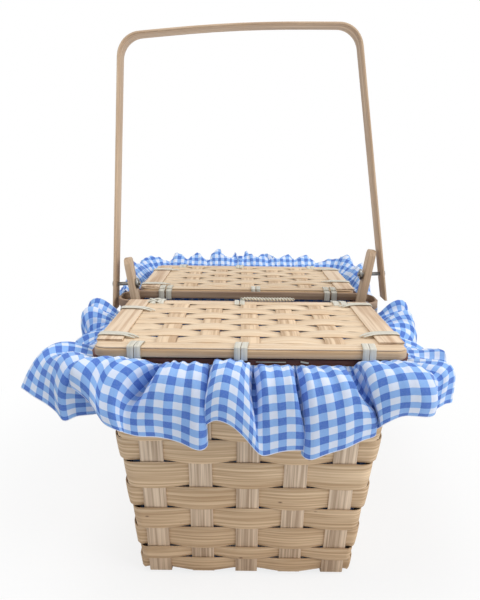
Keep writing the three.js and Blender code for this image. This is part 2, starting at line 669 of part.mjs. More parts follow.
// Cloth of one thickness through a row of lines with the same number of points.
function clothThrough(lines, thickness) {
  const faces = lines.map((line) => line.map(() => []));
  const addFace = (...corners) => {
    const [a, b, c] = corners.map(([i, k]) => lines[i][k]);
    const normal = b.clone().sub(a).cross(c.clone().sub(a)).normalize();
    corners.forEach(([i, k]) => faces[i][k].push(normal));
  };
  for (let i = 0; i < lines.length - 1; i += 1) {
    for (let k = 0; k < lines[i].length - 1; k += 1) {
      addFace([i, k], [i + 1, k], [i + 1, k + 1]);
      addFace([i, k], [i + 1, k + 1], [i, k + 1]);
    }
  }
  const sections = lines.map((line, i) => {
    const shift = faces[i].map((around) => wayOut(around).multiplyScalar(thickness / 2));
    const outer = line.map((point, k) => point.clone().add(shift[k]));
    const inner = line.map((point, k) => point.clone().sub(shift[k]));
    return [...outer, ...inner.reverse()];
  });
  return stripThrough(sections, false);
}

function addFrills(parent) {
  const frontLines = frontFolds.map((fold) => foldLine(fold, foldHandle.front));
  const backLines = backFolds.map((fold) => foldLine(backFold(fold), foldHandle.back));
  addPiece(parent, 'front_frill', clothThrough(frontLines, frillThickness), cloth);
  addPiece(parent, 'back_frill', clothThrough(backLines, frillThickness), cloth);
}

// Slope of the long sides at the struts.
const strutSlope = wallSpread + sideBulge / rimTop;
const strutLean = Math.atan(strutSlope);

function strutFaceAt(z) {
  return baseHalfWidth + strutSlope * z - strutFace;
}

const bailPivotHalf = strutFaceAt(pivotHeight) + strutToBail;
const hoopHalfLength = bailPivotHalf - hoopToBail;
const hingeAt = hoopHalfWidth + tieThickness + 1.5 * CLEARANCE;
const hoopBase = rimTop + CLEARANCE;
const lidWidth = 2 * (halfWidth(rimTop) + lidSideReach);
const lashReach = lidWidth / 2 - boardWidth - lashWidth / 2 - lashToBoard;
const hingeHeight = lidBase + railHeight + splintThickness + 2 * CLEARANCE + tieThickness / 2;

function addHoop(parent) {
  const shape = roundedRectangle(hoopHalfLength, hoopHalfWidth, hoopCorner, new THREE.Shape());
  const inside = [hoopHalfLength - hoopThickness, hoopHalfWidth - hoopThickness];
  shape.holes.push(roundedRectangle(...inside, hoopCorner - hoopThickness, new THREE.Path()));
  const geometry = new THREE.ExtrudeGeometry(shape, {
    depth: hoopHeight, bevelEnabled: false, curveSegments: 4,
  });
  addPiece(parent, 'centre_hoop', geometry, wood.handle).position.z = hoopBase;
}

// A flat ring of cane with its axis along X, round a bar of the given size.
function lashGeometry(depth, height, width) {
  const outer = [depth / 2 + CLEARANCE + tieThickness, height / 2 + CLEARANCE + tieThickness];
  const inner = [depth / 2 + CLEARANCE, height / 2 + CLEARANCE];
  const shape = roundedRectangle(...outer, tieThickness, new THREE.Shape());
  shape.holes.push(roundedRectangle(...inner, tieThickness / 2, new THREE.Path()));
  const geometry = new THREE.ExtrudeGeometry(shape, {
    depth: width, bevelEnabled: false, curveSegments: 1,
  });
  geometry.translate(0, 0, -width / 2);
  geometry.rotateX(Math.PI / 2);
  geometry.rotateZ(Math.PI / 2);
  return geometry;
}

function addHoopLashings(parent) {
  [['front', -1], ['back', 1]].forEach(([end, sy]) => {
    [['left', -1], ['right', 1]].forEach(([side, sx]) => {
      const geometry = lashGeometry(hoopThickness, hoopHeight, lashWidth);
      const lash = addPiece(parent, `hoop_lash_${end}_${side}`, geometry, cane);
      const y = sy * (hoopHalfWidth - hoopThickness / 2);
      lash.position.set(sx * lashReach, y, hoopBase + hoopHeight / 2);
    });
  });
}

// Pivot line of the handle, square to which the bolts and their holes lie.
function pivotCylinder(radius, middle, length) {
  const geometry = new THREE.CylinderGeometry(radius, radius, length, 16);
  geometry.rotateZ(Math.PI / 2);
  geometry.translate(middle, 0, 0);
  return geometry;
}

function rollAboutPivot(geometry) {
  geometry.rotateY(-bailRoll);
  geometry.translate(0, 0, pivotHeight);
  return geometry;
}

function addStruts(parent) {
  [['left', -1], ['right', 1]].forEach(([side, sx]) => {
    const top = strutTop[side];
    const shape = new THREE.Shape();
    const half = strutWidth / 2;
    shape.moveTo(-half, -strutLength);
    shape.lineTo(half, -strutLength);
    shape.lineTo(half, -half);
    shape.absarc(0, -half, half, 0, Math.PI);
    shape.closePath();
    const geometry = new THREE.ExtrudeGeometry(shape, {
      depth: strutThickness, bevelEnabled: false, curveSegments: 8,
    });
    geometry.rotateX(Math.PI / 2);
    geometry.rotateZ(Math.PI / 2);
    geometry.translate(-strutThickness, 0, 0);
    geometry.rotateY(strutLean);
    geometry.translate(strutFaceAt(top), 0, top);
    if (sx < 0) geometry.rotateZ(Math.PI);
    const hole = rollAboutPivot(pivotCylinder(boltRadius + CLEARANCE, sx * strutFaceAt(top), 2 * strutWidth));
    const solid = toManifold(geometry).subtract(toManifold(hole));
    addPiece(parent, `${side}_strut`, fromManifold(solid), wood.handle);
  });
}

// The handle's middle line on one side, from the tail up to the top's middle.
function bailLine() {
  const points = [];
  const radius = bailCorner - bailThickness / 2;
  const top = bailTop - bailThickness / 2;
  const centreZ = top - radius;
  const legX = (z) => bailPivotHalf - z * Math.tan(bailSplay);
  const startZ = centreZ + radius * Math.sin(bailSplay);
  const centreX = legX(startZ) - radius * Math.cos(bailSplay);
  points.push([legX(-bailTail), -bailTail, 0], [legX(startZ / 2), startZ / 2, 0]);
  for (let i = 0; i <= 7; i += 1) {
    const turn = bailSplay + ((Math.PI / 2 - bailSplay) * i) / 7;
    points.push([centreX + radius * Math.cos(turn), centreZ + radius * Math.sin(turn), turn]);
  }
  for (let i = 1; i < 4; i += 1) {
    const t = i / 4;
    points.push([centreX * (1 - t), top + bailArch * Math.sin((t * Math.PI) / 2), Math.PI / 2]);
  }
  points[0][2] = bailSplay;
  points[1][2] = bailSplay;
  return points;
}

function addHandle(parent) {
  const side = bailLine();
  const mirrored = side.map(([x, z, turn]) => [-x, z, Math.PI - turn]).reverse();
  const middle = [[0, bailTop - bailThickness / 2 + bailArch, Math.PI / 2]];
  const half = bailWidth / 2;
  const sections = [...side, ...middle, ...mirrored].map(([x, z, turn]) => {
    const nx = (Math.cos(turn) * bailThickness) / 2;
    const nz = (Math.sin(turn) * bailThickness) / 2;
    return [
      new THREE.Vector3(x + nx, -half, z + nz),
      new THREE.Vector3(x + nx, half, z + nz),
      new THREE.Vector3(x - nx, half, z - nz),
      new THREE.Vector3(x - nx, -half, z - nz),
    ];
  });
  let solid = toManifold(stripThrough(sections, false));
  [-1, 1].forEach((sx) => {
    const hole = pivotCylinder(boltRadius + CLEARANCE, sx * bailPivotHalf, bailWidth);
    solid = solid.subtract(toManifold(hole));
  });
  addPiece(parent, 'handle', fromManifold(solid), wood.handle);
}

// A turned piece: its profile lists distances from the pivot line and places on it.
function turned(profile, sx) {
  const points = profile.map(([radius, at]) => new THREE.Vector2(radius, at));
  const geometry = new THREE.LatheGeometry(points, 12);
  geometry.rotateZ(-Math.PI / 2);
  if (sx < 0) geometry.rotateZ(Math.PI);
  return geometry;
}

function addBolts(parent) {
  const headWedge = boltHeadRadius * Math.tan(bailSplay);
  const headAt = bailPivotHalf + bailThickness / 2 + headWedge + CLEARANCE;
  [['left', -1], ['right', 1]].forEach(([side, sx]) => {
    const strutAt = (strutFaceAt(pivotHeight) - strutThickness / Math.cos(strutLean)
      + sx * Math.sin(bailRoll) * baseHalfWidth * strutSlope);
    const nutWedge = nutRadius * Math.tan(strutLean + sx * bailRoll);
    const nutFace = strutAt - nutWedge - CLEARANCE;
    const tip = nutFace - nutHeight - boltPastNut;
    const bolt = turned([
      [0, tip], [boltRadius, tip], [boltRadius, headAt], [boltHeadRadius, headAt],
      [boltHeadRadius * 0.8, headAt + boltHeadHeight * 0.7], [0, headAt + boltHeadHeight],
    ], sx);
    addPiece(parent, `${side}_bolt`, bolt, metal);
    const bore = boltRadius + CLEARANCE;
    const nut = turned([
      [bore, nutFace], [bore, nutFace - nutHeight], [nutRadius * 0.55, nutFace - nutHeight],
      [nutRadius, nutFace - nutHeight * 0.35], [nutRadius, nutFace], [bore, nutFace],
    ], sx);
    addPiece(parent, `${side}_nut`, nut, metal);
  });
}

// One lid, drawn round its hinge line: it reaches towards -Y from there.
const lidEdge = hoopHalfWidth - hingeAt - tieThickness - 1.5 * CLEARANCE;
const lidFront = hingeAt - halfLength(rimTop) - innerBandFace - lidEndReach;
const lidLength = lidEdge - lidFront;
const frameBase = lidBase - hingeHeight;
const matLevel = frameBase + railHeight + CLEARANCE + splintThickness / 2;

function box(x0, x1, y0, y1, z0, z1) {
  const geometry = new THREE.BoxGeometry(x1 - x0, y1 - y0, z1 - z0);
  geometry.translate((x0 + x1) / 2, (y0 + y1) / 2, (z0 + z1) / 2);
  return geometry;
}

// The lid's panel: flat strips along it, and rows woven across them. Slots in the
// edge bands let the lashings through.
function matGeometry(lashings) {
  const half = splintThickness / 2;
  const level = [matLevel - half, matLevel + half];
  const matHalf = lidWidth / 2 - CLEARANCE;
  const pieces = [];
  for (let k = -lidStripsEachSide; k <= lidStripsEachSide; k += 1) {
    const x = k * lidStripPitch;
    const side = lidStripWidth / 2;
    pieces.push(box(x - side, x + side, lidFront + lidStripEndInset, lidEdge - lidStripEndInset, ...level));
  }
  const bandHalf = lidWidth / 2 - lidCorner;
  pieces.push(box(-bandHalf, bandHalf, lidFront, lidFront + edgeBand, ...level));
  pieces.push(box(-bandHalf, bandHalf, lidEdge - edgeBand, lidEdge, ...level));
  const pitch = (lidLength - 2 * edgeBand) / lidRowCount;
  for (let row = 0; row < lidRowCount; row += 1) {
    const y0 = lidFront + edgeBand + row * pitch + lidRowGap / 2;
    const y1 = y0 + pitch - lidRowGap;
    const steps = [[-matHalf, 0]];
    for (let k = -lidStripsEachSide; k <= lidStripsEachSide; k += 1) {
      const over = (Math.abs(k) + row) % 2 === 1;
      const rise = over ? splintThickness - 0.1 : 0.1 - splintThickness;
      const reach = lidStripWidth / 2 + 1;
      steps.push([k * lidStripPitch - reach, rise], [k * lidStripPitch + reach, rise]);
    }
    steps.push([matHalf, 0]);
    const lastStrip = lidStripsEachSide * lidStripPitch + lidStripWidth;
    steps.splice(1, 0, [-lastStrip, 0]);
    steps.splice(steps.length - 1, 0, [lastStrip, 0]);
    pieces.push(stripThrough(steps.map(([x, rise]) => [
      new THREE.Vector3(x, y0, level[1] + rise), new THREE.Vector3(x, y1, level[1] + rise),
      new THREE.Vector3(x, y1, level[0] + rise), new THREE.Vector3(x, y0, level[0] + rise),
    ]), false));
  }
  const mat = pieces.map(toManifold).reduce((whole, piece) => whole.add(piece));
  const slots = lashings.map(({ x, width, inwards, y }) => {
    const near = y + inwards * (railWidth / 2);
    const far = near + inwards * (tieThickness + 2 * CLEARANCE);
    const reach = width / 2 + CLEARANCE;
    const [y0, y1] = [near, far].sort((a, b) => a - b);
    return toManifold(box(x - reach, x + reach, y0, y1, level[0] - 1, level[1] + 1));
  });
  return fromManifold(slots.reduce((rest, slot) => rest.subtract(slot), mat));
}

// What a lid's rail and the panel's edge band above it measure together.
const railStack = railHeight + splintThickness + CLEARANCE;

function addLid(end, turn) {
  const name = `${end}_lid`;
  const [first, last] = sideTieInset[end];
  const ties = [first - lidWidth / 2, middleTieShift[end], lidWidth / 2 - last];
  const lid = new THREE.Group();
  lid.rotation.z = turn;
  lid.position.set(0, turn === 0 ? -hingeAt : hingeAt, hingeHeight);
  basket.add(lid);
  const shape = roundedRectangle(lidWidth / 2, lidLength / 2, lidCorner, new THREE.Shape());
  const inside = [lidWidth / 2 - railWidth, lidLength / 2 - railWidth];
  shape.holes.push(roundedRectangle(...inside, lidCorner - railWidth / 2, new THREE.Path()));
  const frame = new THREE.ExtrudeGeometry(shape, {
    depth: railHeight, bevelEnabled: false, curveSegments: 4,
  });
  frame.translate(0, lidFront + lidLength / 2, frameBase);
  addPiece(lid, `${name}_frame`, frame, wood.frame);
  const lashY = lidEdge - railWidth / 2;
  const tieY = lidFront + railWidth / 2;
  const lashings = [
    ...['left', 'right'].map((side, i) => (
      { part: `lash_${side}`, x: (2 * i - 1) * lashReach, y: lashY, width: lashWidth, inwards: -1 })),
    ...ties.map((x, i) => (
      { part: `rail_tie_${i + 1}`, x, y: tieY, width: tieWidth, inwards: 1 })),
  ];
  addPiece(lid, `${name}_woven_panel`, matGeometry(lashings), wood.lid);
  const boardLow = matLevel + splintThickness / 2 + CLEARANCE;
  [['left', -1], ['right', 1]].forEach(([side, sx]) => {
    const edges = [sx * (lidWidth / 2), sx * (lidWidth / 2 - boardWidth)].sort((a, b) => a - b);
    const along = [lidFront + edgeBand + boardFrontInset, lidEdge - boardBackInset];
    const board = box(...edges, ...along, boardLow, boardLow + boardThickness);
    addPiece(lid, `${name}_${side}_board`, board, wood.frame);
  });
  lashings.forEach(({ part, x, y, width }) => {
    const lash = lashGeometry(railWidth, railStack, width);
    addPiece(lid, `${name}_${part}`, lash, cane).position.set(x, y, frameBase + railStack / 2);
  });
}

addStakes(basket);
addWeavers(basket);
addRim(basket);
addHoop(basket);
addHoopLashings(basket);
addStruts(basket);
addLining(basket);
addFrills(basket);

const pivotLine = new THREE.Group();
pivotLine.rotation.y = -bailRoll;
pivotLine.position.z = pivotHeight;
basket.add(pivotLine);
addHandle(pivotLine);
addBolts(pivotLine);

addLid('front', 0);
addLid('back', Math.PI);

export default basket;
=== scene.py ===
"""A handled picnic basket: flat wood splints, two hinged lids, a bent swinging
handle, and a gingham lining with a gathered frill. Metres, in the CAD's frame."""
import math

import bmesh
import bpy
from mathutils import Matrix, Vector, geometry, noise


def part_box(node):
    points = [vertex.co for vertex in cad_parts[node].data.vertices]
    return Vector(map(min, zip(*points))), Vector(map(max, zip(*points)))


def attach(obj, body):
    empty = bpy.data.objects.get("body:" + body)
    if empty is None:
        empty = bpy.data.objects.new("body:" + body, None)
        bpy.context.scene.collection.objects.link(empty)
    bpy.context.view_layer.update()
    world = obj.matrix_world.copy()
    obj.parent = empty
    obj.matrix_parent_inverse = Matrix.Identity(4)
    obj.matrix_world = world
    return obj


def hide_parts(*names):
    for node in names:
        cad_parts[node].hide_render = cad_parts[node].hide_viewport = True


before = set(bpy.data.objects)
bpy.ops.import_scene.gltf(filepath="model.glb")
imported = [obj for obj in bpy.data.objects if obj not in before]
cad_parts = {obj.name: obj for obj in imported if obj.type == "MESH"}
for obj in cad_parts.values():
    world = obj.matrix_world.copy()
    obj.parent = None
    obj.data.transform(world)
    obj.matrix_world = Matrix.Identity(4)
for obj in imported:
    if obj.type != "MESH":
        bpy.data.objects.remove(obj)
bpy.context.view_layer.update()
mm = 0.001
bpy.context.scene.view_settings.view_transform = "Standard"

# The basket stands on a pale table, seen from in front and a little above. The
# long side of the picture is 600 px, and the lens covers it with 540 px of focal
# length. The picture is turned by a little less than one degree.
sensor, focal_length, long_side = 36, 540, 600
camera_data = bpy.data.cameras.new("camera")
camera_data.sensor_width = sensor
camera_data.lens = sensor * focal_length / long_side
camera = bpy.data.objects.new("camera", camera_data)
bpy.context.scene.collection.objects.link(camera)
bpy.context.scene.camera = camera
camera.location = (-9 * mm, -586 * mm, 375 * mm)
tilt, roll = math.radians(13.7), math.radians(0.71)
sight = Vector((0, math.cos(tilt), -math.sin(tilt)))
camera.rotation_mode = "QUATERNION"
upright = sight.to_track_quat("-Z", "Y")
camera.rotation_quaternion = upright @ Matrix.Rotation(roll, 3, "Z").to_quaternion()


class Link:
    """A socket of a node tree. Sums on it add Math nodes."""

    def __init__(self, tree, socket=None):
        self.tree, self.socket = tree, socket

    def node(self, kind, settings=None, values=None, output=0):
        """Adds a ShaderNode of a kind, fills its sockets and gives back an output."""
        made = self.tree.nodes.new("ShaderNode" + kind)
        for name, value in (settings or {}).items():
            if name == "stops":
                marks = made.color_ramp.elements
                while len(marks) < len(value):
                    marks.new(0.5)
                for mark, (place, colour) in zip(marks, value):
                    mark.position, mark.color = place, colour
            else:
                setattr(made, name, value)
        for name, value in (values or {}).items():
            if isinstance(value, Link):
                self.tree.links.new(value.socket, made.inputs[name])
            else:
                made.inputs[name].default_value = value
        return Link(self.tree, made.outputs[output]) if made.outputs else None

    def sum(self, operation, first, second=0.0):
        return self.node("Math", {"operation": operation}, {0: first, 1: second})

    def __add__(self, other):
        return self.sum("ADD", self, other)

    def __sub__(self, other):
        return self.sum("SUBTRACT", self, other)

    def __rsub__(self, other):
        return self.sum("SUBTRACT", other, self)

    def __mul__(self, other):
        return self.sum("MULTIPLY", self, other)

    def __gt__(self, other):
        return self.sum("GREATER_THAN", self, other)

    __radd__, __rmul__ = __add__, __mul__


def shade(red, green, blue):
    """A colour as a screen shows it, in the numbers that a shader takes."""
    channels = [c / 255 for c in (red, green, blue)]
    return (*[c / 12.92 if c < 0.04045 else ((c + 0.055) / 1.055) ** 2.4 for c in channels], 1)


def seen_by_camera(look):
    """1 on rays from the camera, straight or by way of glossy and clear things."""
    rays = [look.node("LightPath", output=name) for name in
            ("Is Camera Ray", "Is Glossy Ray", "Is Transmission Ray")]
    return look.sum("MINIMUM", rays[0] + rays[1] + rays[2], 1)


world = bpy.data.worlds.new("studio")
bpy.context.scene.world = world
world.use_nodes = True
world.node_tree.nodes.clear()
sky = Link(world.node_tree)
plain_white = (1, 1, 1, 1)
dim, bright = (sky.node("Background", None, {"Color": plain_white, "Strength": strength})
               for strength in (0.4, 1.0))
sky.node("OutputWorld", None, {
    "Surface": sky.node("MixShader", None, {0: seen_by_camera(sky), 1: dim, 2: bright})})

basket_middle = Vector((0, 0, 0.2))
for name, place, size, power in (
        ("softbox_right", (1.25, -0.65, 1.05), 1.1, 15), ("softbox_top", (-0.45, -0.3, 1.7), 0.9, 13)):
    lamp_data = bpy.data.lights.new(name, "AREA")
    lamp_data.size, lamp_data.energy = size, power
    lamp = bpy.data.objects.new(name, lamp_data)
    bpy.context.scene.collection.objects.link(lamp)
    lamp.location = place
    lamp.rotation_euler = (basket_middle - Vector(place)).to_track_quat("-Z", "Y").to_euler()


def let_go():
    """Goes to object mode, with nothing selected."""
    if bpy.context.mode != "OBJECT":
        bpy.ops.object.mode_set(mode="OBJECT")
    bpy.ops.object.select_all(action="DESELECT")


def material(name):
    """An empty material, and a link to write its nodes with."""
    made = bpy.data.materials.new(name)
    made.use_nodes = True
    made.node_tree.nodes.clear()
    return made, Link(made.node_tree)


def begin(name, primitive, **settings):
    """Adds a primitive as a new piece, with its place in its mesh, in edit mode."""
    let_go()
    getattr(bpy.ops.mesh, f"primitive_{primitive}_add")(**settings)
    piece = bpy.context.object
    piece.name = piece.data.name = name
    bpy.ops.object.transform_apply(location=True, rotation=True, scale=True)
    bpy.ops.object.mode_set(mode="EDIT")
    return piece


def clouds(look, vector, scale, detail=2.0):
    """Soft noise."""
    return look.node("TexNoise", None, {"Vector": vector, "Scale": scale, "Detail": detail})


def blend(look, factor, first, second, kind="MIX"):
    """A colour between two others."""
    return look.node("Mix", {"data_type": "RGBA", "blend_type": kind},
                     {0: factor, 6: first, 7: second}, 2)


def spread(look, value, from_low, from_high, to_low=0, to_high=1, kind="LINEAR"):
    """Carries a range of values over to another one."""
    return look.node("MapRange", {"interpolation_type": kind}, {
        "Value": value, "From Min": from_low, "From Max": from_high, "To Min": to_low, "To Max": to_high})


floor = begin("floor", "circle", vertices=64, radius=4, fill_type="NGON", location=(0, 0, -0.2 * mm))
let_go()
floor_look, look = material("table_top")
place = look.node("TexCoord", output="Object")
away = look.node("VectorMath", {"operation": "LENGTH"}, {0: place}, "Value")
fade = spread(look, away, 0.2, 0.5, 0.8, 1, "SMOOTHSTEP")
paper = look.node("BsdfDiffuse", None, {
    "Color": blend(look, clouds(look, place, 300.0), shade(243, 243, 243), shade(250, 250, 250))})
white = look.node("Emission", None, {"Color": plain_white, "Strength": 1.0})
look.node("OutputMaterial", None, {"Surface": look.node(
    "MixShader", None, {0: fade * seen_by_camera(look), 1: paper, 2: white})})
floor.data.materials.append(floor_look)


# Stakes: flat splints of pale wood, split along the grain. Each goes down one
# wall, under the basket and up the other wall, and stands between the rows.
def alone(piece):
    """Leaves one piece selected and active, in object mode."""
    let_go()
    piece.select_set(True)
    bpy.context.view_layer.objects.active = piece


def select_all():
    """Selects all of the piece in edit mode."""
    bpy.ops.mesh.select_all(action="SELECT")


def copied(node, name):
    """A copy of a CAD node with its corners joined, in edit mode, all selected."""
    piece = bpy.data.objects.new(name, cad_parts[node].data.copy())
    bpy.context.scene.collection.objects.link(piece)
    piece.data.materials.clear()
    alone(piece)
    bpy.ops.mesh.customdata_custom_splitnormals_clear()
    bpy.ops.object.mode_set(mode="EDIT")
    select_all()
    bpy.ops.mesh.remove_doubles(threshold=0.01 * mm)
    bpy.ops.mesh.tris_convert_to_quads()
    return piece


def pick(piece, kind, test):
    """Selects the edges or faces that pass a test, in edit mode."""
    bpy.ops.mesh.select_mode(type=kind)
    bpy.ops.mesh.select_all(action="DESELECT")
    mesh = bmesh.from_edit_mesh(piece.data)
    for part in {"EDGE": mesh.edges, "FACE": mesh.faces}[kind]:
        if test(part):
            part.select_set(True)
    mesh.select_flush_mode()
    bmesh.update_edit_mesh(piece.data)


def modify(piece, kind, **settings):
    """Adds a modifier to the piece and applies it."""
    alone(piece)
    modifier = piece.modifiers.new(kind, kind)
    for name, value in settings.items():
        setattr(modifier, name, value)
    bpy.ops.object.modifier_apply(modifier=modifier.name)


def soften(piece, width, segments, angle=50):
    """Rounds the edges that turn by more than the angle, over a width in mm."""
    modify(piece, "BEVEL", width=width * mm, segments=segments,
           limit_method="ANGLE", angle_limit=math.radians(angle))


def run_grain(piece, along, across, number):
    """Writes where each point lies along and across the wood's grain. Either way is
    a sum of axes, such as xy, or a function of the point."""
    attribute = piece.data.attributes.new("grain", "FLOAT_VECTOR", "POINT")
    for vertex, value in zip(piece.data.vertices, attribute.data):
        value.vector = (*[way(vertex.co) if callable(way) else sum(getattr(vertex.co, axis) for axis in way)
                          for way in (along, across)], number)


def finish_piece(piece, look, slot_name, body, *nodes, angle=35):
    """Gives a piece its material, its body and the CAD nodes that it stands for."""
    alone(piece)
    bpy.ops.object.shade_smooth_by_angle(angle=math.radians(angle))
    piece.data.materials.append(look)
    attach(piece, body)
    if nodes:
        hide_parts(*nodes)


def cover(look, relief, strength, depth, inputs):
    """Ends a material with one shader and its relief, which is some mm deep."""
    bump = look.node("Bump", None, {"Height": relief, "Strength": strength, "Distance": depth * mm})
    shader = look.node("BsdfPrincipled", None, {**inputs, "Normal": bump})
    look.node("OutputMaterial", None, {"Surface": shader})


def wood(name, pale, dark, streaks=0.5, fibre=1.0, flecks=0.0, rough=0.62, depth=0.12, foot=1.0):
    """Bare wood with its fibres along the grain, broader streaks and small knots. The
    low 120 mm of what foot is set for is darker, down to that share of the colour:
    painted shade, for the light that falls off towards the table."""
    made, look = material(name)
    grain = look.node("Attribute", {"attribute_name": "grain"}, None, "Vector")

    def stretched(along, across, shift=3.7):
        return look.node("VectorMath", {"operation": "MULTIPLY"},
                         {0: grain, 1: (along, across, shift)})

    fibres = clouds(look, stretched(28, 1500 * fibre), 1.0, 3.0)
    line = spread(look, clouds(look, stretched(9, 420 * fibre), 1.0), 0.38, 0.66)
    tone = clouds(look, stretched(7, 45), 1.0)
    mask = look.sum("MINIMUM", fibres * 0.45 + line * streaks + tone * 0.5 - 0.18, 1.0)
    body = blend(look, mask, shade(*dark), shade(*pale))
    knots = look.node("TexVoronoi", None, {"Vector": stretched(38, 75, 11.3), "Scale": 1.0})
    spotted = blend(look, spread(look, knots, 0.03, 0.09, flecks, 0.0), body, shade(96, 62, 40))
    place = look.node("TexCoord", None, None, "Object")
    height = look.node("SeparateXYZ", None, {"Vector": place}, "Z")
    # Painted shade: the low 120 mm darken towards the table, where less light falls.
    low_shade_mask = spread(look, height, 0.0, 120 * mm, 1.0, 0.0)
    painted_low_shade = blend(look, low_shade_mask, spotted, (foot, foot ** 1.35, foot ** 1.7, 1), "MULTIPLY")
    cover(look, fibres + line * 0.6, 0.55, depth, {
        "Base Color": painted_low_shade, "Roughness": rough + 0.14 * (1 - fibres)})
    return made


# foot=0.78 paints shade on the low part of the stakes.
stake_look = wood("stake_splint_wood", (234, 213, 188), (156, 128, 102),
                  streaks=0.75, flecks=0.25, foot=0.78)
long_pitch, long_fan = 40.4 * mm, 0.012
cross_pitch, cross_fan = 42 * mm, 0.02
for kind, count in (("long_stake", 5), ("cross_stake", 7)):
    for number in range(1, count + 1):
        stake = copied(f"{kind}_{number}", f"{kind}_splint_{number}")
        soften(stake, 0.25, 2, 30)
        k = number - (count + 1) / 2
        if kind == "long_stake":
            run_grain(stake, "zy", lambda p: p.x - k * long_fan * p.z, number * 1.7)
        else:
            run_grain(stake, "zx", lambda p: p.y - k * cross_fan * p.z, number * 1.3 + 20)
        finish_piece(stake, stake_look, "stake_splint", "basket", f"{kind}_{number}")


# Weaving rows: ten wide splints that go round the wall, over one stake and
# behind the next. A row is widest where it lies on the outside, and its edges
# are bent a little inwards.
# foot=0.78 paints shade on the low rows.
weaver_look = wood("weaver_splint_wood", (234, 208, 174), (170, 136, 98),
                   streaks=0.6, fibre=1.2, flecks=0.8, foot=0.78)
row_edges = [5.2, 19.6, 32.6, 55.4, 77.1, 100.2, 126.4, 149.3, 172.6, 195.8, 219]  # mm above the table
row_gap, splint_thickness = 0.8, 1.2 * mm
row_bow, edge_bend = 0.45, 0.32
wall_slope, corner_growth = 0.125, 0.04
foot_half_x, foot_half_y, foot_corner, foot_proportion = 96.3 * mm, 146.9 * mm, 4.2 * mm, 1.52


def wall_normal(p):
    """The direction that the wall faces at a point."""
    radius = foot_corner + corner_growth * p.z
    x = max(abs(p.x) - (foot_half_x + wall_slope * p.z - radius), 0)
    y = max(abs(p.y) - (foot_half_y + wall_slope * p.z - radius), 0)
    if x == 0 and y == 0:
        x, y = (1, 0) if abs(p.x) * foot_proportion > abs(p.y) else (0, 1)
    return Vector((math.copysign(x, p.x), math.copysign(y, p.y), 0)).normalized()


for number in range(1, 11):
    row = copied(f"weaver_row_{number}", f"weaver_splint_{number}")
    pick(row, "EDGE", lambda edge: abs(edge.verts[0].co.z - edge.verts[1].co.z) < 0.1 * mm
         and abs(edge.calc_length() - splint_thickness) > 0.05 * mm)
    bpy.ops.transform.edge_crease(value=0.85)
    modify(row, "SUBSURF", levels=2, render_levels=2)
    row_width = (row_edges[number] - row_edges[number - 1] - row_gap) * mm
    middle = row_edges[number - 1] * mm + row_width / 2
    for vertex in row.data.vertices:
        p = vertex.co
        normal = wall_normal(p)
        on_end = abs(normal.y) > abs(normal.x)
        place = p.x / (long_pitch + long_fan * p.z) if on_end else p.y / (cross_pitch + cross_fan * p.z)
        outside = -math.cos(math.pi * (place + number - 1))
        level = (p.z - middle) / (row_width / 2)
        p += normal * (row_bow * outside - edge_bend * level * level) * mm
        p.z += level * (0.1 + 0.9 * outside) * mm
    run_grain(row, "xy", "z", number * 2.9)
    finish_piece(row, weaver_look, "weaver_splint", "basket", f"weaver_row_{number}", angle=50)


# Rim: a bent band of wood on each face of the wall. Its dark red-brown is painted
# shade, for the deep shadow under the lids. The two grip the ends of the stakes
# between them, and the frill is sewn on below them.
rim_shade_look = wood("rim_band_painted_shade_wood", (108, 60, 44), (62, 28, 20), streaks=0.5, rough=0.55)
for node in ("outer_rim", "inner_rim"):
    rim = copied(node, f"{node}_band")
    soften(rim, 0.5, 2, 40)
    run_grain(rim, "xy", "z", 41 if node == "outer_rim" else 43)
    finish_piece(rim, rim_shade_look, "rim_band", "basket", node)


# Centre hoop: a bent strip of wood that lies on the rim across the basket. Its
# long sides carry the two lids. Its corners are bent round.
def extrude(way):
    """Extrudes what is selected along a vector."""
    bpy.ops.mesh.extrude_region_move(TRANSFORM_OT_translate={"value": way})


def face_outwards():
    """Turns all faces of the piece in edit mode outwards, and leaves edit mode."""
    select_all()
    bpy.ops.mesh.normals_make_consistent(inside=False)
    bpy.ops.object.mode_set(mode="OBJECT")


def rounded_ring(name, low, high, corner, wall, height, edge_width):
    """A ring of a flat rounded rectangle, raised and softened along its edges."""
    centre = (Vector(low) + Vector(high)) / 2
    size = Vector(high) - Vector(low)
    ring = begin(name, "plane", size=1)
    bpy.ops.transform.resize(value=(size.x, size.y, 1))
    bpy.ops.transform.translate(value=(centre.x, centre.y, low[2]))
    bpy.ops.mesh.bevel(offset=corner, segments=10, affect="VERTICES")
    select_all()
    bpy.ops.mesh.inset(thickness=wall)
    pick(ring, "FACE", lambda face: face.calc_area() > 0.25 * size.x * size.y)
    bpy.ops.mesh.delete(type="ONLY_FACE")
    select_all()
    extrude((0, 0, height))
    face_outwards()
    soften(ring, edge_width, 3)
    return ring


bent_look = wood("bent_wood", (220, 196, 168), (164, 134, 106), streaks=0.6, fibre=0.8, rough=0.5)
# The hoop is the bent wood darkened: painted shade, for the shadow between the lids.
hoop_shade_look = wood("hoop_painted_shade_wood", (176, 150, 126), (128, 100, 80), streaks=0.6, fibre=0.8, rough=0.55)
hoop_low, hoop_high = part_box("centre_hoop")
hoop = rounded_ring("hoop_strip", hoop_low, hoop_high,
                    corner=18 * mm, wall=2.8 * mm, height=8.5 * mm, edge_width=0.8)
run_grain(hoop, "xy", "z", 51)
finish_piece(hoop, hoop_shade_look, "bent_wood", "basket", "centre_hoop")


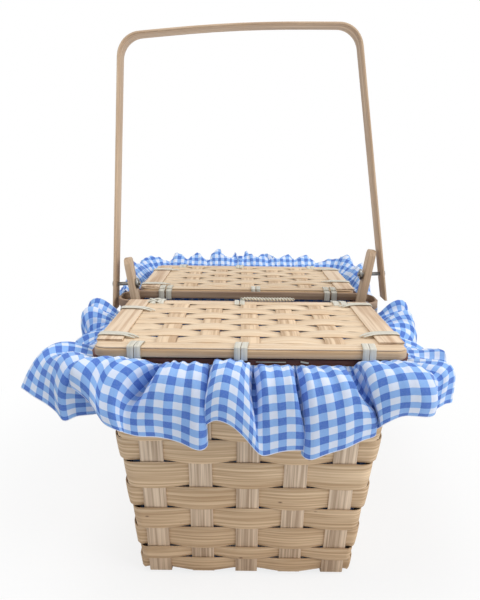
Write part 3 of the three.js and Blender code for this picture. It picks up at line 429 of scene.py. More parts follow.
# Struts: two flat bars with cut corners at the top, pushed down between the
# wall and the inner band. The handle is bolted to them.
sides = (("left", -1), ("right", 1))
strut_size = (7 * mm, 18 * mm, 148 * mm)
side_bulge, rim_height = 6, 227.6
strut_lean = math.atan(wall_slope + side_bulge / rim_height)
for side, sx in sides:
    low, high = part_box(f"{side}_strut")
    strut = begin(f"{side}_strut_bar", "cube", size=1)
    bpy.ops.transform.resize(value=strut_size)
    pick(strut, "EDGE", lambda edge: all(v.co.z > 0 for v in edge.verts)
         and abs(edge.verts[0].co.y - edge.verts[1].co.y) < 1e-6)
    bpy.ops.mesh.bevel(offset=6 * mm, segments=2, affect="EDGES")
    select_all()
    bpy.ops.mesh.bevel(offset=0.7 * mm, segments=2, affect="EDGES")
    let_go()
    strut.data.transform(Matrix.Rotation(sx * strut_lean, 4, "Y"))
    centre = (low + high) / 2
    strut.data.transform(Matrix.Translation((centre.x, 0, centre.z)))
    run_grain(strut, "z", lambda p: p.y + 0.7 * (p.x - sx * 0.15 * p.z), 61 + sx)
    finish_piece(strut, bent_look, "bent_wood", "basket", f"{side}_strut")


# Handle: one strip of wood, steamed and bent over a form, with sanded edges. It
# swings on two bolts through the struts.
pivot = Vector((0, 0, 256.5 * mm))
roll_handle = Matrix.Rotation(math.radians(-3), 4, "Y")
splay = math.radians(6.4)
strip_thickness, strip_width, strip_corner = 3 * mm, 24 * mm, 2.2 * mm
pivot_half, tail, top = 146.49 * mm, 28 * mm, 252.5 * mm
corner_radius, arch = 23.5 * mm, 3 * mm
leg_way = Vector((math.sin(splay), 0, math.cos(splay)))
corner_z = top - corner_radius
leg_length = (corner_z + corner_radius * math.sin(splay) + tail) / math.cos(splay)
leg_foot = Vector((-pivot_half, 0, 0)) - leg_way * tail / math.cos(splay)
leg_top = leg_foot + leg_way * leg_length
corner_centre = leg_top + Vector((math.cos(splay), 0, -math.sin(splay))) * corner_radius

handle = begin("handle_strip", "plane", size=1, rotation=(0, splay, 0))
bpy.ops.transform.resize(value=(strip_thickness, strip_width, strip_thickness))
bpy.ops.mesh.bevel(offset=strip_corner, segments=3, affect="VERTICES")
select_all()
bpy.ops.transform.translate(value=leg_foot)
for part in (0.12, 0.38, 0.5):
    extrude(leg_way * leg_length * part)
bpy.ops.mesh.spin(steps=10, angle=math.pi / 2 - splay, center=corner_centre, axis=(0, -1, 0))
for lift in (0.38, 0.33, 0.21, 0.08):
    extrude((-corner_centre.x / 4, 0, arch * lift))
pick(handle, "FACE", lambda face: abs(face.normal.x) > 0.9 and face.calc_center_median().x > -1e-4
     and face.calc_area() > 40 * mm * mm)
bpy.ops.mesh.delete(type="FACE")
modify(handle, "MIRROR", use_clip=True, use_mirror_merge=True, merge_threshold=0.05 * mm)
bpy.ops.object.mode_set(mode="EDIT")
face_outwards()
soften(handle, 0.7, 3)
run_grain(handle, lambda p: p.x + p.z if p.z < corner_z else p.x * 1.02 + p.z, "y", 71)
handle.data.transform(Matrix.Translation(pivot) @ roll_handle)
finish_piece(handle, bent_look, "bent_wood", "handle", "handle")


# Bolts and nuts: dull plated steel. A bolt goes through the handle and the strut
# on each side, with its head outside and a domed nut inside.
def plated(name):
    """Dull plated steel with faint turning marks and darker stains."""
    made, look = material(name)
    place = look.node("TexCoord", output="Object")
    stain, marks = clouds(look, place, 380.0, 4.0), clouds(look, place, 2600.0, 1.0)
    tone = blend(look, stain, shade(84, 82, 80), shade(176, 175, 172))
    cover(look, marks, 0.35, 0.04, {
        "Base Color": tone, "Metallic": 0.95, "Roughness": 0.22 + 0.25 * stain})
    return made


def step_up(steps):
    """Raises the round face step by step, and scales it after each."""
    for lift, part in steps:
        extrude((0, 0, lift * mm))
        bpy.ops.transform.resize(value=(part, part, 1))
    face_outwards()


steel = plated("plated_steel")
shank_radius, nut_radius = 2 * mm, 6 * mm
head_height, nut_seat = 2.2 * mm, 0.4 * mm
for side, sx in sides:
    turn_out = Matrix.Translation(pivot) @ roll_handle @ Matrix.Rotation(sx * math.pi / 2, 4, "Y")
    tip, end = sorted(abs(corner.x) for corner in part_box(f"{side}_bolt"))
    bolt = begin(f"{side}_bolt_pin", "circle", vertices=24, radius=shank_radius,
                 fill_type="NGON", location=(0, 0, tip))
    extrude((0, 0, end - tip - head_height))
    step_up(((0, 2), (0.9, 0.97), (0.7, 0.82), (0.45, 0.55)))
    bolt.data.transform(turn_out)
    finish_piece(bolt, steel, "bolt_metal", "basket", f"{side}_bolt", angle=40)

    near = max(abs(corner.x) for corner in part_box(f"{side}_nut")) - nut_seat
    nut = begin(f"{side}_nut_dome", "circle", vertices=32, radius=nut_radius,
                fill_type="NGON", location=(0, 0, near))
    step_up(((-1.3, 1), (-0.6, 0.93), (-0.5, 0.85), (0, 0.62), (0.7, 0.85), (0, 0.6), (-0.6, 0.85)))
    nut.data.transform(turn_out)
    finish_piece(nut, steel, "bolt_metal", "basket", f"{side}_nut", angle=40)


# Lids: on each a bent frame with rounded corners carries a woven panel of wide
# splints. Both are drawn as the front one, and the back one is turned about Z.
def smooth(points, steps):
    """Points of a smooth line through the given ones."""
    line = []
    for i in range(len(points) - 1):
        a, b, c, d = (Vector(points[max(0, min(k, len(points) - 1))]) for k in (i - 1, i, i + 1, i + 2))
        for step in range(steps):
            t = step / steps
            line.append(0.5 * (2 * b + (c - a) * t + (2 * a - 5 * b + 4 * c - d) * t * t
                               + (3 * b - a - 3 * c + d) * t ** 3))
    return line + [Vector(points[-1])]


def flat_grid(name, columns, rows):
    """A flat grid of one metre, to be laid along lines, in object mode."""
    piece = begin(name, "grid", x_subdivisions=columns, y_subdivisions=rows, size=1)
    let_go()
    return piece


def ribbon(name, points, across, width, thickness, steps, end_width=1.0):
    """A flat strip along a smooth line, in mm. Its last fifth may narrow to a part."""
    line = smooth(points, steps)
    last = len(line) - 1
    strip = flat_grid(name, last, 2)
    for vertex in strip.data.vertices:
        place, side = vertex.co.x + 0.5, 2 * vertex.co.y
        narrow = 1 - (1 - end_width) * max(0.0, place - 0.8) / 0.2
        vertex.co = (line[round(place * last)] + Vector(across) * side * narrow * width / 2) * mm
    modify(strip, "SOLIDIFY", thickness=thickness * mm, offset=0)
    soften(strip, 0.2, 1)
    return strip


def joined(name, pieces):
    """Makes one piece of several."""
    alone(pieces[0])
    for piece in pieces:
        piece.select_set(True)
    bpy.ops.object.join()
    pieces[0].name = pieces[0].data.name = name
    return pieces[0]


def ramp(value, start, length):
    """Rises evenly from 0 at the start to 1 at the length from there."""
    return min(max((value - start) / length, 0), 1)


def binding(x, slant, near, far, inner, low, top):
    """A line once round a lid's rail and over the flat band that lies on it."""
    way = math.copysign(1, inner - near)
    below = ((near + inner) / 2, low)
    line = [below, (near + way, low), (near - 0.2 * way, low + 0.8), (near - 0.2 * way, top - 1.3),
            (near + 1.0 * way, top), ((near + far) / 2, top + 0.3), (far - 1.6 * way, top), (far, top - 1.4),
            (far - 2 * way, top - 3.6), (inner + 0.5 * way, top - 4.6), (inner, low + 1),
            (inner - way, low), below]
    return [(x + slant * ramp(z, low, top - low) * abs(y - near) / abs(far - near), y, z) for y, z in line]


def ring_line(x, y, z, half_y, half_z):
    """A line once round a bar that runs along X, from below and back."""
    r = 1.3
    line = [(x, y, z - half_z)]
    for sy, sz in ((1, -1), (1, 1), (-1, 1), (-1, -1)):
        corner = [(sy * (half_y - r), sz * half_z), (sy * (half_y - 0.3 * r), sz * (half_z - 0.3 * r)),
                  (sy * half_y, sz * (half_z - r))]
        for dy, dz in corner if sy * sz < 0 else corner[::-1]:
            line.append((x, y + dy, z + dz))
    return line + [(x, y, z - half_z)]


def wound_twice(name, line_at, half_pitch, width, crosses=(), steps=4):
    """Flat cane in two turns side by side, with lines of cane that cross them."""
    turns = [ribbon("turn", line_at(dx), (1, 0, 0), width, cane_thickness, steps)
             for dx in (-half_pitch, half_pitch)]
    return joined(name, turns + [ribbon("cross", points, (0, 1, 0), 4.6, 0.8, 5) for points in crosses])


# The frame's colour is partly its own wood and partly painted shade: darkened and warmed for its front face in
# shadow.
lid_frame_shade_look = wood("lid_frame_wood", (222, 194, 156), (174, 134, 94), streaks=0.45, fibre=0.9, rough=0.52)
edge_look = wood("lid_edge_splint_wood", (240, 220, 194), (196, 164, 126),
                 streaks=0.45, fibre=0.9, rough=0.52)
board_look = wood("lid_board_wood", (226, 204, 178), (182, 148, 116),
                  streaks=1.0, fibre=0.55, rough=0.6, depth=0.3)
row_look = wood("lid_splint_wood", (240, 222, 195), (202, 170, 134),
                streaks=0.4, fibre=0.8, flecks=0.35, rough=0.55)
strip_look = wood("lid_strip_wood", (228, 203, 172), (172, 138, 104), streaks=0.85, fibre=0.7, rough=0.6)
cane_look = wood("binding_cane", (226, 223, 212), (182, 178, 162),
                 streaks=0.5, fibre=1.3, rough=0.4, depth=0.06)
lid_half, lid_outside, lid_inside, lid_bottom = 125 * mm, -184.05 * mm, -29.05 * mm, 229.3 * mm
lid_row_pitch, first_row, lid_row_width, lid_row_half = 18.26, -170.45, 17.6, 124.6
strip_pitch, strip_start, strip_length, lid_strip_width = 34.5, -182.5, 152.0, 16
row_level, strip_level, splint_wave, lid_splint_thickness = 237.0, 236.85, 1.5, 1.15
board_size, board_place = (21 * mm, 136.4 * mm, 1.5 * mm), (114.5 * mm, -100.25 * mm, 238.65 * mm)
outer_rail, hinge_rail = (-184.6, -170.2, -175.4, 228.4, 238.9), (-28.5, -42.8, -37.7, 228.4, 238.9)
band_half, band_level, band_corner, hinge_x, rail_tie_x, cane_thickness = 123.2, 237.35, 10, 95.5, -9.3, 0.9


def row_wave(x, row):
    """How far a row stands above the middle of the panel at a place along it."""
    return -splint_wave * math.cos(math.pi * (x / strip_pitch + row)) * (1 - ramp(abs(x), 84, 12))


def place_lid(end, piece, look, slot_name, number, along, across, *nodes, angle=50):
    """Finishes a piece of a lid. On the back one it is turned after its grain is set."""
    back = end == "back"
    run_grain(piece, along, across, number + 37.3 * back)
    piece.data.transform(Matrix.Rotation(math.pi * back, 4, "Z"))
    finish_piece(piece, look, slot_name, f"{end}_lid", *nodes, angle=angle)


def place_cane(end, piece, number, *nodes):
    """Finishes cane round a rail of a lid."""
    place_lid(end, piece, cane_look, "cane", number, "yz", "x", *nodes)


for end in ("front", "back"):
    lid = f"{end}_lid"
    lid_ring = rounded_ring(f"{lid}_frame_strip", (-lid_half, lid_outside, lid_bottom),
                            (lid_half, lid_inside, lid_bottom),
                            corner=10 * mm, wall=8 * mm, height=7.4 * mm, edge_width=1.6)
    place_lid(end, lid_ring, lid_frame_shade_look, "lid_frame", 81, "xy",
              lambda p: p.z + 0.3 * (abs(p.x) + abs(p.y)), f"{lid}_frame", angle=35)

    for row in range(7):
        middle = first_row + (row + 0.5) * lid_row_pitch
        xs = [-lid_row_half + 2 * lid_row_half * i / 80 for i in range(81)]
        points = [(x, middle, row_level + row_wave(x, row)) for x in xs]
        splint = ribbon(f"{lid}_row_{row + 1}", points, (0, 1, 0), lid_row_width, lid_splint_thickness, 1)
        for vertex in splint.data.vertices:
            level = (vertex.co.y - middle * mm) / (lid_row_width / 2 * mm)
            crossing = -math.cos(math.pi * (vertex.co.x / (strip_pitch * mm) + row))
            vertex.co.y += level * (0.55 * crossing - 0.7 * (1 - abs(crossing))) * mm
            vertex.co.z -= 0.35 * level * level * max(crossing, 0) * mm
        nodes = (f"{lid}_woven_panel",) if row == 0 else ()
        place_lid(end, splint, row_look, "lid_splint", 90 + 3.1 * row, "x", "y", *nodes)

    for k in range(-2, 3):
        points = []
        for i in range(61):
            y = strip_start + strip_length * i / 60
            row = (y - first_row) / lid_row_pitch - 0.5
            inside = ramp(y, -176, 8) * ramp(-y, 38, 8)
            wave = splint_wave * inside * math.cos(math.pi * (k + row))
            points.append((strip_pitch * k, y, strip_level + wave))
        strip = ribbon(f"{lid}_strip_{k + 3}", points, (1, 0, 0), lid_strip_width, lid_splint_thickness, 1)
        place_lid(end, strip, strip_look, "lid_splint", 60 + 2.3 * k, "y", "x")

    for number, (y0, y1) in enumerate(((-183.6, -170.6), (-42.4, -29.5))):
        points = [(-band_half + 2 * band_half * i / 60, (y0 + y1) / 2, band_level) for i in range(61)]
        band = ribbon(f"{lid}_edge_band_{number + 1}", points, (0, 1, 0), y1 - y0, 1.1, 1)
        for vertex in band.data.vertices:
            outside = (vertex.co.y > (y0 + y1) / 2 * mm) == (number == 1)
            past_corner = max(abs(vertex.co.x) / mm - 115, 0)
            round_off = band_corner - math.sqrt(band_corner ** 2 - past_corner ** 2)
            if outside:
                vertex.co.y += (round_off if number == 0 else -round_off) * mm
            elif number == 1:
                vertex.co.y += 0.9 * math.cos(math.pi * vertex.co.x / (strip_pitch * mm)) * mm
        place_lid(end, band, edge_look, "lid_splint", 120 + 5 * number, "x", "y")

    for side, sx in sides:
        board = begin(f"{lid}_{side}_board_splint", "cube", size=1)
        bpy.ops.transform.resize(value=board_size)
        bpy.ops.transform.translate(value=(sx * board_place[0], *board_place[1:]))
        pick(board, "FACE", lambda face: abs(face.normal.y) > 0.9)
        bpy.ops.mesh.inset(thickness=0.45 * mm, use_individual=True)
        bpy.ops.mesh.extrude_region_shrink_fatten(TRANSFORM_OT_shrink_fatten={"value": -4 * mm})
        soften(board, 0.28, 2)
        place_lid(end, board, board_look, "lid_frame", 130 + sx, "y", "x",
                  f"{lid}_{side}_board", angle=35)

    rail_ties = {"front": (-91.95, -8, 93.05), "back": (-91.95, 9, 90.05)}[end]
    for number, x in enumerate(rail_ties):
        tie = wound_twice(f"{lid}_rail_tie_{number + 1}_cane",
                          lambda dx: binding(x + dx, 1.5, *outer_rail), 2.8, 5.0)
        place_cane(end, tie, 140 + number, f"{lid}_rail_tie_{number + 1}")
    for side, sx in sides:
        crosses = [[(-105, -36 - 6 * sy, 239.4), (-101, -36 - 2.5 * sy, 240.1),
                    (-97, -36 + 2.5 * sy, 240.1 + 0.5 * sy), (-93, -36 + 6 * sy, 239.4)]
                   for sy in (-1, 1) if (end, side) == ("front", "left")]
        lash = wound_twice(f"{lid}_lash_{side}_cane",
                           lambda dx: binding(sx * hinge_x + dx, 0, *hinge_rail), 4.1, 6.2, crosses)
        place_cane(end, lash, 150 + sx, f"{lid}_lash_{side}")
    tie = wound_twice(f"{lid}_hinge_rail_tie", lambda dx: binding(rail_tie_x + dx, 0, *hinge_rail), 2.9, 4.8)
    place_cane(end, tie, 156)

    board_ties = {"front": ((-1, -155.4), (-1, -69), (1, -145.8), (1, -45)),
                  "back": ((1, -137), (1, -45), (-1, -70), (-1, -152))}[end]
    for number, (sx, y) in enumerate(board_ties):
        strands = []
        for dy, reach in ((-2.3, 0), (2.0, 3)):
            points = [(sx * 126.1, y + dy, 232.5), (sx * 126.2, y + dy, 238.6), (sx * 124.6, y + dy, 240.4),
                      (sx * 115, y + dy - 0.4, 240.7), (sx * 106, y + dy - 1.2, 240.5),
                      (sx * (101 - reach), y + dy * 0.7 - 3.4, 239.9),
                      (sx * (95 - reach), y + dy * 0.4 - 6.2, 238.7)]
            strands.append(ribbon("strand", points, (0, 1, 0), 3.9, 0.8, steps=5, end_width=0.25))
        tie = joined(f"{lid}_board_tie_{number + 1}", strands)
        place_lid(end, tie, cane_look, "cane", 160 + number, "xz", "y")


# Hinge bindings on the hoop: flat cane wound twice round its long sides. They
# link with the bindings on the lids' rails.
hoop_y, hoop_z, ring_half_y, ring_half_z = 23.0, 232.15, 2.6, 5.3
for end, sy in (("front", -1), ("back", 1)):
    for side, sx in sides:
        lash = wound_twice(
            f"hoop_lash_{end}_{side}_cane",
            lambda dx: ring_line(sx * hinge_x + dx, sy * hoop_y, hoop_z, ring_half_y, ring_half_z),
            4.1, 6.2, steps=3)
        run_grain(lash, "yz", "x", 170 + sx + 3 * sy)
        finish_piece(lash, cane_look, "cane", "basket", f"hoop_lash_{end}_{side}", angle=50)


# Lining and frills: one plain-woven cotton in quarter-inch gingham. The cloth's
# pattern follows the flat cut through the UV map.
def gingham(name, hem_at):
    """Cotton gingham: two sets of stripes, darker where both of them are blue."""
    stripe_pair, thread = 12.7 * mm, 0.55 * mm
    made, look = material(name)
    cut = look.node("UVMap", {"uv_map": "cut"})
    wobble = clouds(look, cut, 22.0, 1.0)
    threads, stripes = [], []
    for axis in ("X", "Y"):
        run = look.node("SeparateXYZ", None, {"Vector": cut}, axis) + wobble * 0.0006
        stripes.append(look.sum("FRACT", run * (1 / stripe_pair)) > 0.5)
        threads.append(look.sum("SINE", run * (2 * math.pi / thread)))
    weave = threads[0] * threads[1]
    crossed = (stripes[0] + stripes[1]) * 0.5
    blues = ((0.0, shade(216, 226, 246)), (0.5, shade(128, 175, 236)), (1.0, shade(38, 102, 196)))
    tint = look.node("ValToRGB", {"stops": blues}, {"Fac": crossed})
    worn = clouds(look, cut, 700.0)
    hem = look.node("SeparateXYZ", None, {"Vector": cut}, "Y") > hem_at
    body = blend(look, worn * 0.16, tint, shade(232, 238, 250))
    edged = blend(look, hem * 0.8, body, shade(236, 240, 250))
    cover(look, weave + worn, 0.3, 0.08, {
        "Base Color": edged, "Roughness": 0.84 + 0.12 * worn, "Sheen Weight": 0.15})
    return made


cloth_look = gingham("gingham_cotton", 86.2 * mm)

# Each frill is a straight strip of the cloth, gathered along its heading below the
# edge of the rim. The first table gives each fold's place on its side, the way the
# cloth leaves the heading, where the hem ends and the way back up, each outwards,
# sideways and upwards in hundredths of the frill's depth. A fold behind has a shape
# and the hem's lift. A shape has one row for the back, a corner and the handle each.
frill_depth = 87 * mm
front_folds = {
    "left": (
        (-0.182, (75, 0, 66), (31, 0, -22), (41, 0, 91)), (-0.21, (62, 5, 78), (36, 2, -21), (29, 0, 96)),
        (-0.28, (94, 0, 35), (25, 2, -31), (20, 0, 98)), (-0.36, (73, 6, 68), (32, 7, -26), (29, 0, 96)),
        (-0.46, (94, 0, -35), (20, 7, -59), (0, 0, 100)), (-0.57, (99, 12, 0), (29, 7, -66), (29, 0, 96)),
        (-0.69, (87, 0, -49), (22, 9, -67), (0, 0, 100)), (-0.82, (95, 28, -11), (38, 18, -61), (29, 0, 96)),
        (-0.94, (81, 34, 47), (54, 46, -20), (-32, -38, 87))),
    "frontLeft": (
        (0.07, (85, 44, 28), (47, 33, -25), (-24, -28, 93)),
        (0.26, (84, 31, 44), (47, 19, -28), (-20, -14, 97)), (0.44, (78, 16, 60), (47, 5, -31), (-15, -1, 99)),
        (0.6, (80, 3, 60), (43, -5, -37), (5, -1, 100)), (0.75, (84, -11, 53), (39, -15, -43), (24, -2, 97)),
        (0.9, (85, -33, -22), (30, -18, -41), (0, -1, 100))),
    "front": (
        (-0.99, (70, -35, -60), (17, -8, -42), (-20, 0, 98)),
        (-0.91, (69, -46, 56), (38, -33, -7), (62, 0, 78)),
        (-0.85, (68, -41, 61), (40, -29, -18), (44, -11, 89)),
        (-0.75, (70, -38, 60), (34, -31, -43), (30, -30, 90)),
        (-0.66, (72, -45, 52), (33, -32, -49), (30, -30, 90)),
        (-0.62, (30, -50, -81), (29, -31, -54), (0, -10, 100)),
        (-0.56, (84, -12, 53), (29, -16, -59), (22, -11, 97)), (-0.44, (82, 0, 57), (30, -8, -64), (22, 0, 98)),
        (-0.32, (85, 0, 53), (32, -3, -67), (22, 0, 98)), (-0.28, (41, 0, -91), (23, -5, -61), (0, 0, 100)),
        (-0.25, (74, 0, 67), (33, -7, -44), (31, 10, 94)), (-0.16, (72, 0, 69), (37, -9, -37), (32, 0, 95)),
        (-0.07, (76, 0, 65), (36, -8, -41), (32, 0, 95)), (-0.01, (84, 0, 54), (33, -2, -57), (22, 0, 98)),
        (0.02, (49, 0, -87), (30, 3, -69), (0, 0, 100)), (0.05, (92, 0, 40), (29, 6, -74), (11, 0, 99)),
        (0.17, (90, 0, 43), (29, 6, -70), (22, 0, 98)), (0.28, (93, 0, 36), (28, 8, -68), (22, 0, 98)),
        (0.32, (49, 0, -87), (23, 8, -74), (0, 0, 100)), (0.35, (94, 0, 34), (32, 9, -75), (22, 0, 98)),
        (0.49, (93, 5, 36), (31, 14, -67), (22, 0, 98)), (0.64, (94, 9, 32), (29, 18, -60), (22, 0, 98)),
        (0.68, (84, 11, -53), (25, 26, -57), (11, 0, 99)), (0.71, (52, 21, -83), (17, 25, -54), (-10, -10, 99)),
        (0.76, (71, 10, 70), (33, 18, -43), (31, -21, 93)), (0.87, (70, 22, 68), (34, 21, -33), (45, 0, 89)),
        (0.99, (68, 37, 63), (30, 31, -33), (45, 0, 89))),
    "frontRight": (
        (0.22, (84, 30, 10), (30, 20, -33), (-9, 3, 100)), (0.38, (94, 17, -12), (33, 9, -32), (-1, -3, 100)),
        (0.54, (99, 2, 16), (36, -1, -31), (7, -8, 99)), (0.7, (96, -15, 21), (38, -10, -30), (3, -4, 100)),
        (0.86, (91, -32, 26), (40, -20, -30), (0, 0, 100))),
    "right": (
        (-0.96, (88, -33, -33), (32, -23, -26), (0, 0, 100)),
        (-0.89, (96, -24, 14), (39, -23, -18), (-22, 11, 97)),
        (-0.75, (89, 0, -45), (25, -16, -54), (0, 0, 100)), (-0.63, (98, -12, -12), (32, -9, -63), (20, 0, 98)),
        (-0.52, (89, 0, -45), (21, -7, -63), (0, 0, 100)), (-0.42, (99, 0, 12), (29, -7, -54), (20, 0, 98)),
        (-0.35, (76, 0, 65), (29, -2, -22), (29, 0, 96)), (-0.27, (94, 0, 35), (24, -2, -31), (0, 0, 100)),
        (-0.21, (58, -5, 82), (34, -2, -17), (24, 0, 97)), (-0.165, (79, 0, 61), (28, 0, -20), (29, 0, 96))),
}
back_shapes = {
    "ridge": (((85, 0, 53), (40, 0, -4), (5, 0, 100)),
              ((70, 0, 71), (30, 0, -18), (10, 0, 99)),
              ((16, 0, 99), (16, 0, -51), (10, 0, 100))),
    "slope": (((80, 0, 60), (30, 8, -9), (5, 0, 100)),
              ((70, 0, 71), (25, 0, -28), (10, 0, 99)),
              ((20, 0, 98), (14, 0, -57), (10, 0, 100))),
    "dip": (((78, 0, 63), (20, 0, -17), (10, 0, 99)),
            ((80, 0, 60), (20, 0, -40), (0, 0, 100)),
            ((80, 0, 60), (10, 0, -71), (0, 0, 100))),
}
back_folds = {
    "right": (
        (0.155, "dip", -8), (0.21, "slope", -22), (0.3, "dip", -8), (0.37, "slope", -10),
        (0.44, "ridge", 0), (0.54, "dip", 0), (0.62, "slope", 3), (0.69, "ridge", 2), (0.79, "dip", 0),
        (0.87, "slope", 5), (0.95, "ridge", 3)),
    "backRight": (
        (0.15, "dip", 5), (0.33, "slope", 7), (0.5, "ridge", 9), (0.68, "slope", 5),
        (0.85, "slope", 2)),
    "back": (
        (0.93, "dip", 0), (0.87, "slope", 2), (0.81, "ridge", 5), (0.74, "slope", 5),
        (0.66, "dip", 5), (0.57, "ridge", 6), (0.5, "slope", 4), (0.43, "dip", 2),
        (0.36, "slope", 5), (0.29, "ridge", 8), (0.22, "slope", 6), (0.14, "dip", 2),
        (0.07, "slope", 5), (0, "ridge", 8), (-0.08, "dip", 7), (-0.15, "ridge", 9),
        (-0.24, "dip", 2), (-0.31, "slope", 7), (-0.37, "ridge", 12), (-0.45, "slope", 6),
        (-0.53, "dip", 0), (-0.6, "slope", 5), (-0.66, "ridge", 7), (-0.73, "slope", 5),
        (-0.8, "dip", 1), (-0.87, "slope", 5), (-0.94, "ridge", 5)),
    "backLeft": (
        (0.1, "dip", 2), (0.28, "slope", 2), (0.45, "ridge", 2), (0.62, "slope", 1),
        (0.8, "dip", 0)),
    "left": (
        (0.96, "slope", 2), (0.89, "ridge", 3), (0.8, "dip", 2), (0.72, "slope", 3),
        (0.65, "ridge", 2), (0.55, "dip", 0), (0.47, "slope", 1), (0.4, "ridge", 2),
        (0.31, "dip", 0), (0.22, "slope", -1), (0.155, "slope", -8)),
}


def heading_point(side, place):
    """A point of the heading, and the direction that the wall faces there."""
    radius, half_end, half_side, height = 19.42, 111.06, 161.66, 223
    bulge, bulge_half = 5.88, 181.07
    walls = ("front", "right", "back", "left")
    corners = ("frontRight", "backRight", "backLeft", "frontLeft")
    turns = walls.index(side) if side in walls else corners.index(side) + place
    angle = (turns - 1) * math.pi / 2
    normal = Vector((math.cos(angle), math.sin(angle), 0))
    if side in ("front", "back"):
        return Vector((place * half_end, normal.y * (half_side + radius), height)) * mm, normal
    if side in ("left", "right"):
        y = place * half_side
        x = half_end + radius + bulge * (1 - (y / bulge_half) ** 2)
        return Vector((normal.x * x, y, height)) * mm, normal
    centre = Vector((math.copysign(half_end, normal.x), math.copysign(half_side, normal.y), height))
    return (centre + normal * radius) * mm, normal


def fold_line(side, place, start, hem, arrive, longest, steps=17):
    """The line of one fold from heading to hem, as long as the frill is deep."""
    root, normal = heading_point(side, place)
    sideways = Vector((-normal.y, normal.x, 0))
    leave, end, back = (normal * way[0] + sideways * way[1] + Vector((0, 0, way[2]))
                        for way in (start, hem, arrive))
    end = root + end * frill_depth
    short, long = 0, longest * frill_depth
    for _ in range(16):
        handle_length = (short + long) / 2
        line = geometry.interpolate_bezier(
            root, root + leave.normalized() * handle_length,
            end + back.normalized() * 0.8 * handle_length, end, 49)
        length = sum((b - a).length for a, b in zip(line, line[1:]))
        if length < frill_depth:
            short = handle_length
        else:
            long = handle_length
    points, travelled, target = [line[0]], 0.0, length / steps
    for a, b in zip(line, line[1:]):
        step = (b - a).length
        while len(points) < steps and travelled + step >= target * len(points):
            points.append(a.lerp(b, (target * len(points) - travelled) / step))
        travelled += step
    return points + [line[-1]]


def between(lines, spacing):
    """More lines between the given ones, on smooth curves through their points."""
    dense = []
    for i in range(len(lines) - 1):
        rows = [lines[max(0, min(k, len(lines) - 1))] for k in (i - 1, i, i + 1, i + 2)]
        first, own, last = (max(sum((q - p).length for p, q in zip(a, b)) / len(a), 1 * mm)
                            for a, b in zip(rows, rows[1:]))
        count = max(2, round(own / spacing))
        for step in range(count):
            t = step / count
            line = []
            for a, b, c, d in zip(*rows):
                slope_b = ((c - b) * (first / own) + (b - a) * (own / first)) / (first + own) * own
                slope_c = ((d - c) * (own / last) + (c - b) * (last / own)) / (own + last) * own
                line.append(b * (2 * t ** 3 - 3 * t * t + 1) + slope_b * (t ** 3 - 2 * t * t + t)
                            + c * (3 * t * t - 2 * t ** 3) + slope_c * (t ** 3 - t * t))
            dense.append(line)
    return dense + [lines[-1]]


def gathered(name, folds, longest, seed):
    """A frill through its folds, with fine gathers at its heading and soft wrinkles."""
    gather_pitch, gather_height, wrinkle_height = 11 * mm, 1.3, 4.5
    lines = between([fold_line(*fold, longest) for fold in folds], 2.4 * mm)
    last, levels = len(lines) - 1, len(lines[0]) - 1
    across = [0.0]
    for a, b in zip(lines, lines[1:]):
        across.append(across[-1] + sum((q - p).length for p, q in zip(a, b)) / len(a))
    moved = []
    for i, line in enumerate(lines):
        before, after = lines[max(i - 1, 0)], lines[min(i + 1, last)]
        row = []
        for k, point in enumerate(line):
            depth = k / levels
            down = line[min(k + 1, levels)] - line[max(k - 1, 0)]
            out = (after[k] - before[k]).cross(down).normalized()
            phase = 5 * noise.noise(Vector((across[i] / (30 * mm), seed, depth)))
            gather = math.sin(2 * math.pi * across[i] / gather_pitch + phase) * gather_height
            gather *= (1 - depth) ** 1.3
            gather *= min(1, 0.25 + depth * 6)
            wrinkle = noise.noise(Vector((across[i] / (24 * mm), depth * 1.6, seed + 7))) * wrinkle_height
            wrinkle *= min(1, depth * 1.5)
            row.append(point + out * (gather + wrinkle) * mm)
        moved.append(row)
    piece = flat_grid(name, last, levels)
    cut = piece.data.uv_layers.new(name="cut")
    places = [(round((v.co.x + 0.5) * last), round((v.co.y + 0.5) * levels)) for v in piece.data.vertices]
    for vertex, (i, k) in zip(piece.data.vertices, places):
        vertex.co = moved[i][k]
    for loop in piece.data.loops:
        i, k = places[loop.vertex_index]
        cut.data[loop.index].uv = (across[i], frill_depth * k / levels)
    modify(piece, "SOLIDIFY", thickness=0.5 * mm, offset=0)
    return piece, across[-1]


def shares(ways):
    """Ways in shares of the frill's depth, from hundredths of it."""
    return [tuple(value / 100 for value in way) for way in ways]


front_ways = [(side, place, *shares(ways)) for side, folds in front_folds.items() for place, *ways in folds]
back_ways = []
for side, folds in back_folds.items():
    for place, shape, lift in folds:
        middle, corner, gap = map(shares, back_shapes[shape])
        near = middle if side == "back" else gap
        part = place * place if side in ("back", "left", "right") else 1
        ways = [tuple(a + (b - a) * part for a, b in zip(*pair)) for pair in zip(near, corner)]
        ways[1] = (ways[1][0], ways[1][1], ways[1][2] + lift / 100)
        back_ways.append((side, place, *ways))
for name, folds, longest, seed in (
        ("front_frill", front_ways, 0.48, 3.1), ("back_frill", back_ways, 0.67, 9.4)):
    frill, flat_width = gathered(f"{name}_cloth", folds, longest, seed)
    finish_piece(frill, cloth_look, "gingham", "basket", name, angle=70)


# Lining: a bag of the same cloth, cut to the inside of the basket and sewn to the
# inner band. It hangs in shallow folds and goes round the feet of the struts.
lining_half_x, lining_half_y, lining_corner = 91.2, 141.8, 3
lining_bulge, lining_bulge_half = 5.9, 181
strut_room, strut_foot, fold_depth = 7.5, 95, 1.5


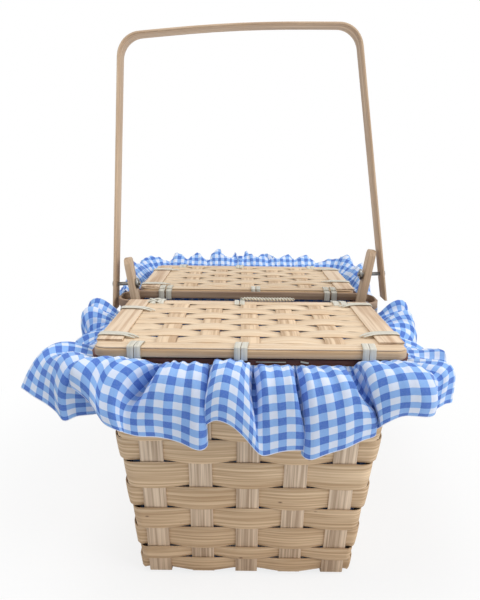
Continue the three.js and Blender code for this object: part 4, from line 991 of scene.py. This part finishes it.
def lining_point(turn, z, shrink):
    """A point of the bag: turn goes from 0 to 4 round its walls, from the right."""
    half_x, half_y = lining_half_x + wall_slope * z, lining_half_y + wall_slope * z
    corner = lining_corner + corner_growth * z
    face, part = int(turn) % 4, 2 * (turn % 1) - 1
    way = Matrix.Rotation(face * math.pi / 2, 3, "Z")
    reach, side = (half_x, half_y) if face % 2 == 0 else (half_y, half_x)
    along = max(min(part * side, side - corner), corner - side)
    over = part * side - along
    out = reach - corner + math.sqrt(max(corner * corner - over * over, 0))
    if face % 2 == 0:
        out += lining_bulge * z / rim_height * (1 - (along / lining_bulge_half) ** 2)
        out -= strut_room * ramp(z, strut_foot, 30) * ramp(-abs(along), -27, 11)
    fold = fold_depth + fold_depth * noise.noise(Vector((face * 9 + along / 17, z / 160, 2.5)))
    point = way @ Vector((out - fold * min(1, z / 30), along + over, 0))
    return Vector((point.x * shrink, point.y * shrink, z)) * mm, (part * side * mm, face)


columns, wall_rows, base_rows = 240, 22, 6
lining_top, lining_depth, wall_cut = 222, 215, 0.216
lining = flat_grid("lining_bag", columns, wall_rows + base_rows)
cut = lining.data.uv_layers.new(name="cut")
spots = []
for vertex in lining.data.vertices:
    i, k = round((vertex.co.x + 0.5) * columns), round((vertex.co.y + 0.5) * (wall_rows + base_rows))
    down, inward = min(k / wall_rows, 1), max(k - wall_rows, 0) / base_rows
    vertex.co, (u, face) = lining_point(
        4 * (i % columns) / columns + 1e-4, lining_top - lining_depth * down, 1 - 0.999 * inward)
    spots.append((u, wall_cut * down, inward, vertex.co.copy()))
for loop in lining.data.loops:
    u, v, inward, spot = spots[loop.vertex_index]
    cut.data[loop.index].uv = (u, v) if inward == 0 else (spot.x, spot.y)
modify(lining, "WELD", merge_threshold=0.05 * mm)
lining.data.flip_normals()
modify(lining, "SOLIDIFY", thickness=0.5 * mm, offset=0)
finish_piece(lining, gingham("gingham_lining", 1.0), "gingham", "basket", "lining", angle=70)


# Cord on the hinge rail of the front lid: two twisted strands that the rail's
# bindings hold down.
cord_start, cord_length, cord_y, cord_z = -9, 58, -30.8, 240.8
cord_turns, strand_radius, twist_radius = 9, 1.15, 0.95
strands = []
for number, phase in enumerate((0, math.pi)):
    strand = flat_grid(f"strand_{number + 1}", 150, 8)
    for vertex in strand.data.vertices:
        part = vertex.co.x + 0.5
        turn, ring = phase + part * 2 * math.pi * cord_turns, 2 * math.pi * vertex.co.y
        radius = strand_radius * min(1, 8 * part + 0.3, 8 * (1 - part) + 0.3)
        sway = 0.6 * math.sin(part * 9)
        middle = Vector((cord_start + cord_length * part, cord_y + sway + twist_radius * math.cos(turn),
                         cord_z + twist_radius * math.sin(turn)))
        vertex.co = (middle + Vector((0, radius * math.cos(ring), radius * math.sin(ring)))) * mm
    modify(strand, "WELD", merge_threshold=0.02 * mm)
    strands.append(strand)
cord = joined("rail_cord", strands)
alone(cord)
bpy.ops.object.mode_set(mode="EDIT")
face_outwards()
run_grain(cord, "yz", "x", 190)
finish_piece(cord, cane_look, "cane", "front_lid", angle=70)


# Fixings: a nail through the handle's left leg under the bolt, and two ends of
# the cane that laces the frill to the outer rim in front.
nail = begin("left_leg_nail", "uv_sphere", segments=16, ring_count=8, radius=1.5 * mm,
             location=(-148.6 * mm, 2 * mm, 239 * mm))
finish_piece(nail, steel, "bolt_metal", "handle", angle=60)
lacing_y, lacing_z = -180.7, 225.7
for number, (x, length, thick, turn) in enumerate(((16.2, 24, 0.7, 0), (42.9, 6.6, 1.3, 10))):
    lacing = begin(f"rim_lacing_{number + 1}", "cube", size=1)
    bpy.ops.transform.resize(value=(length * mm, 0.9 * mm, thick * mm))
    bpy.ops.mesh.bevel(offset=0.25 * mm, segments=2, affect="EDGES")
    let_go()
    lacing.data.transform(Matrix.Translation(Vector((x, lacing_y, lacing_z)) * mm)
                          @ Matrix.Rotation(math.radians(turn), 4, "Y"))
    run_grain(lacing, "x", "z", 191 + number)
    finish_piece(lacing, cane_look, "cane", "basket", angle=40)
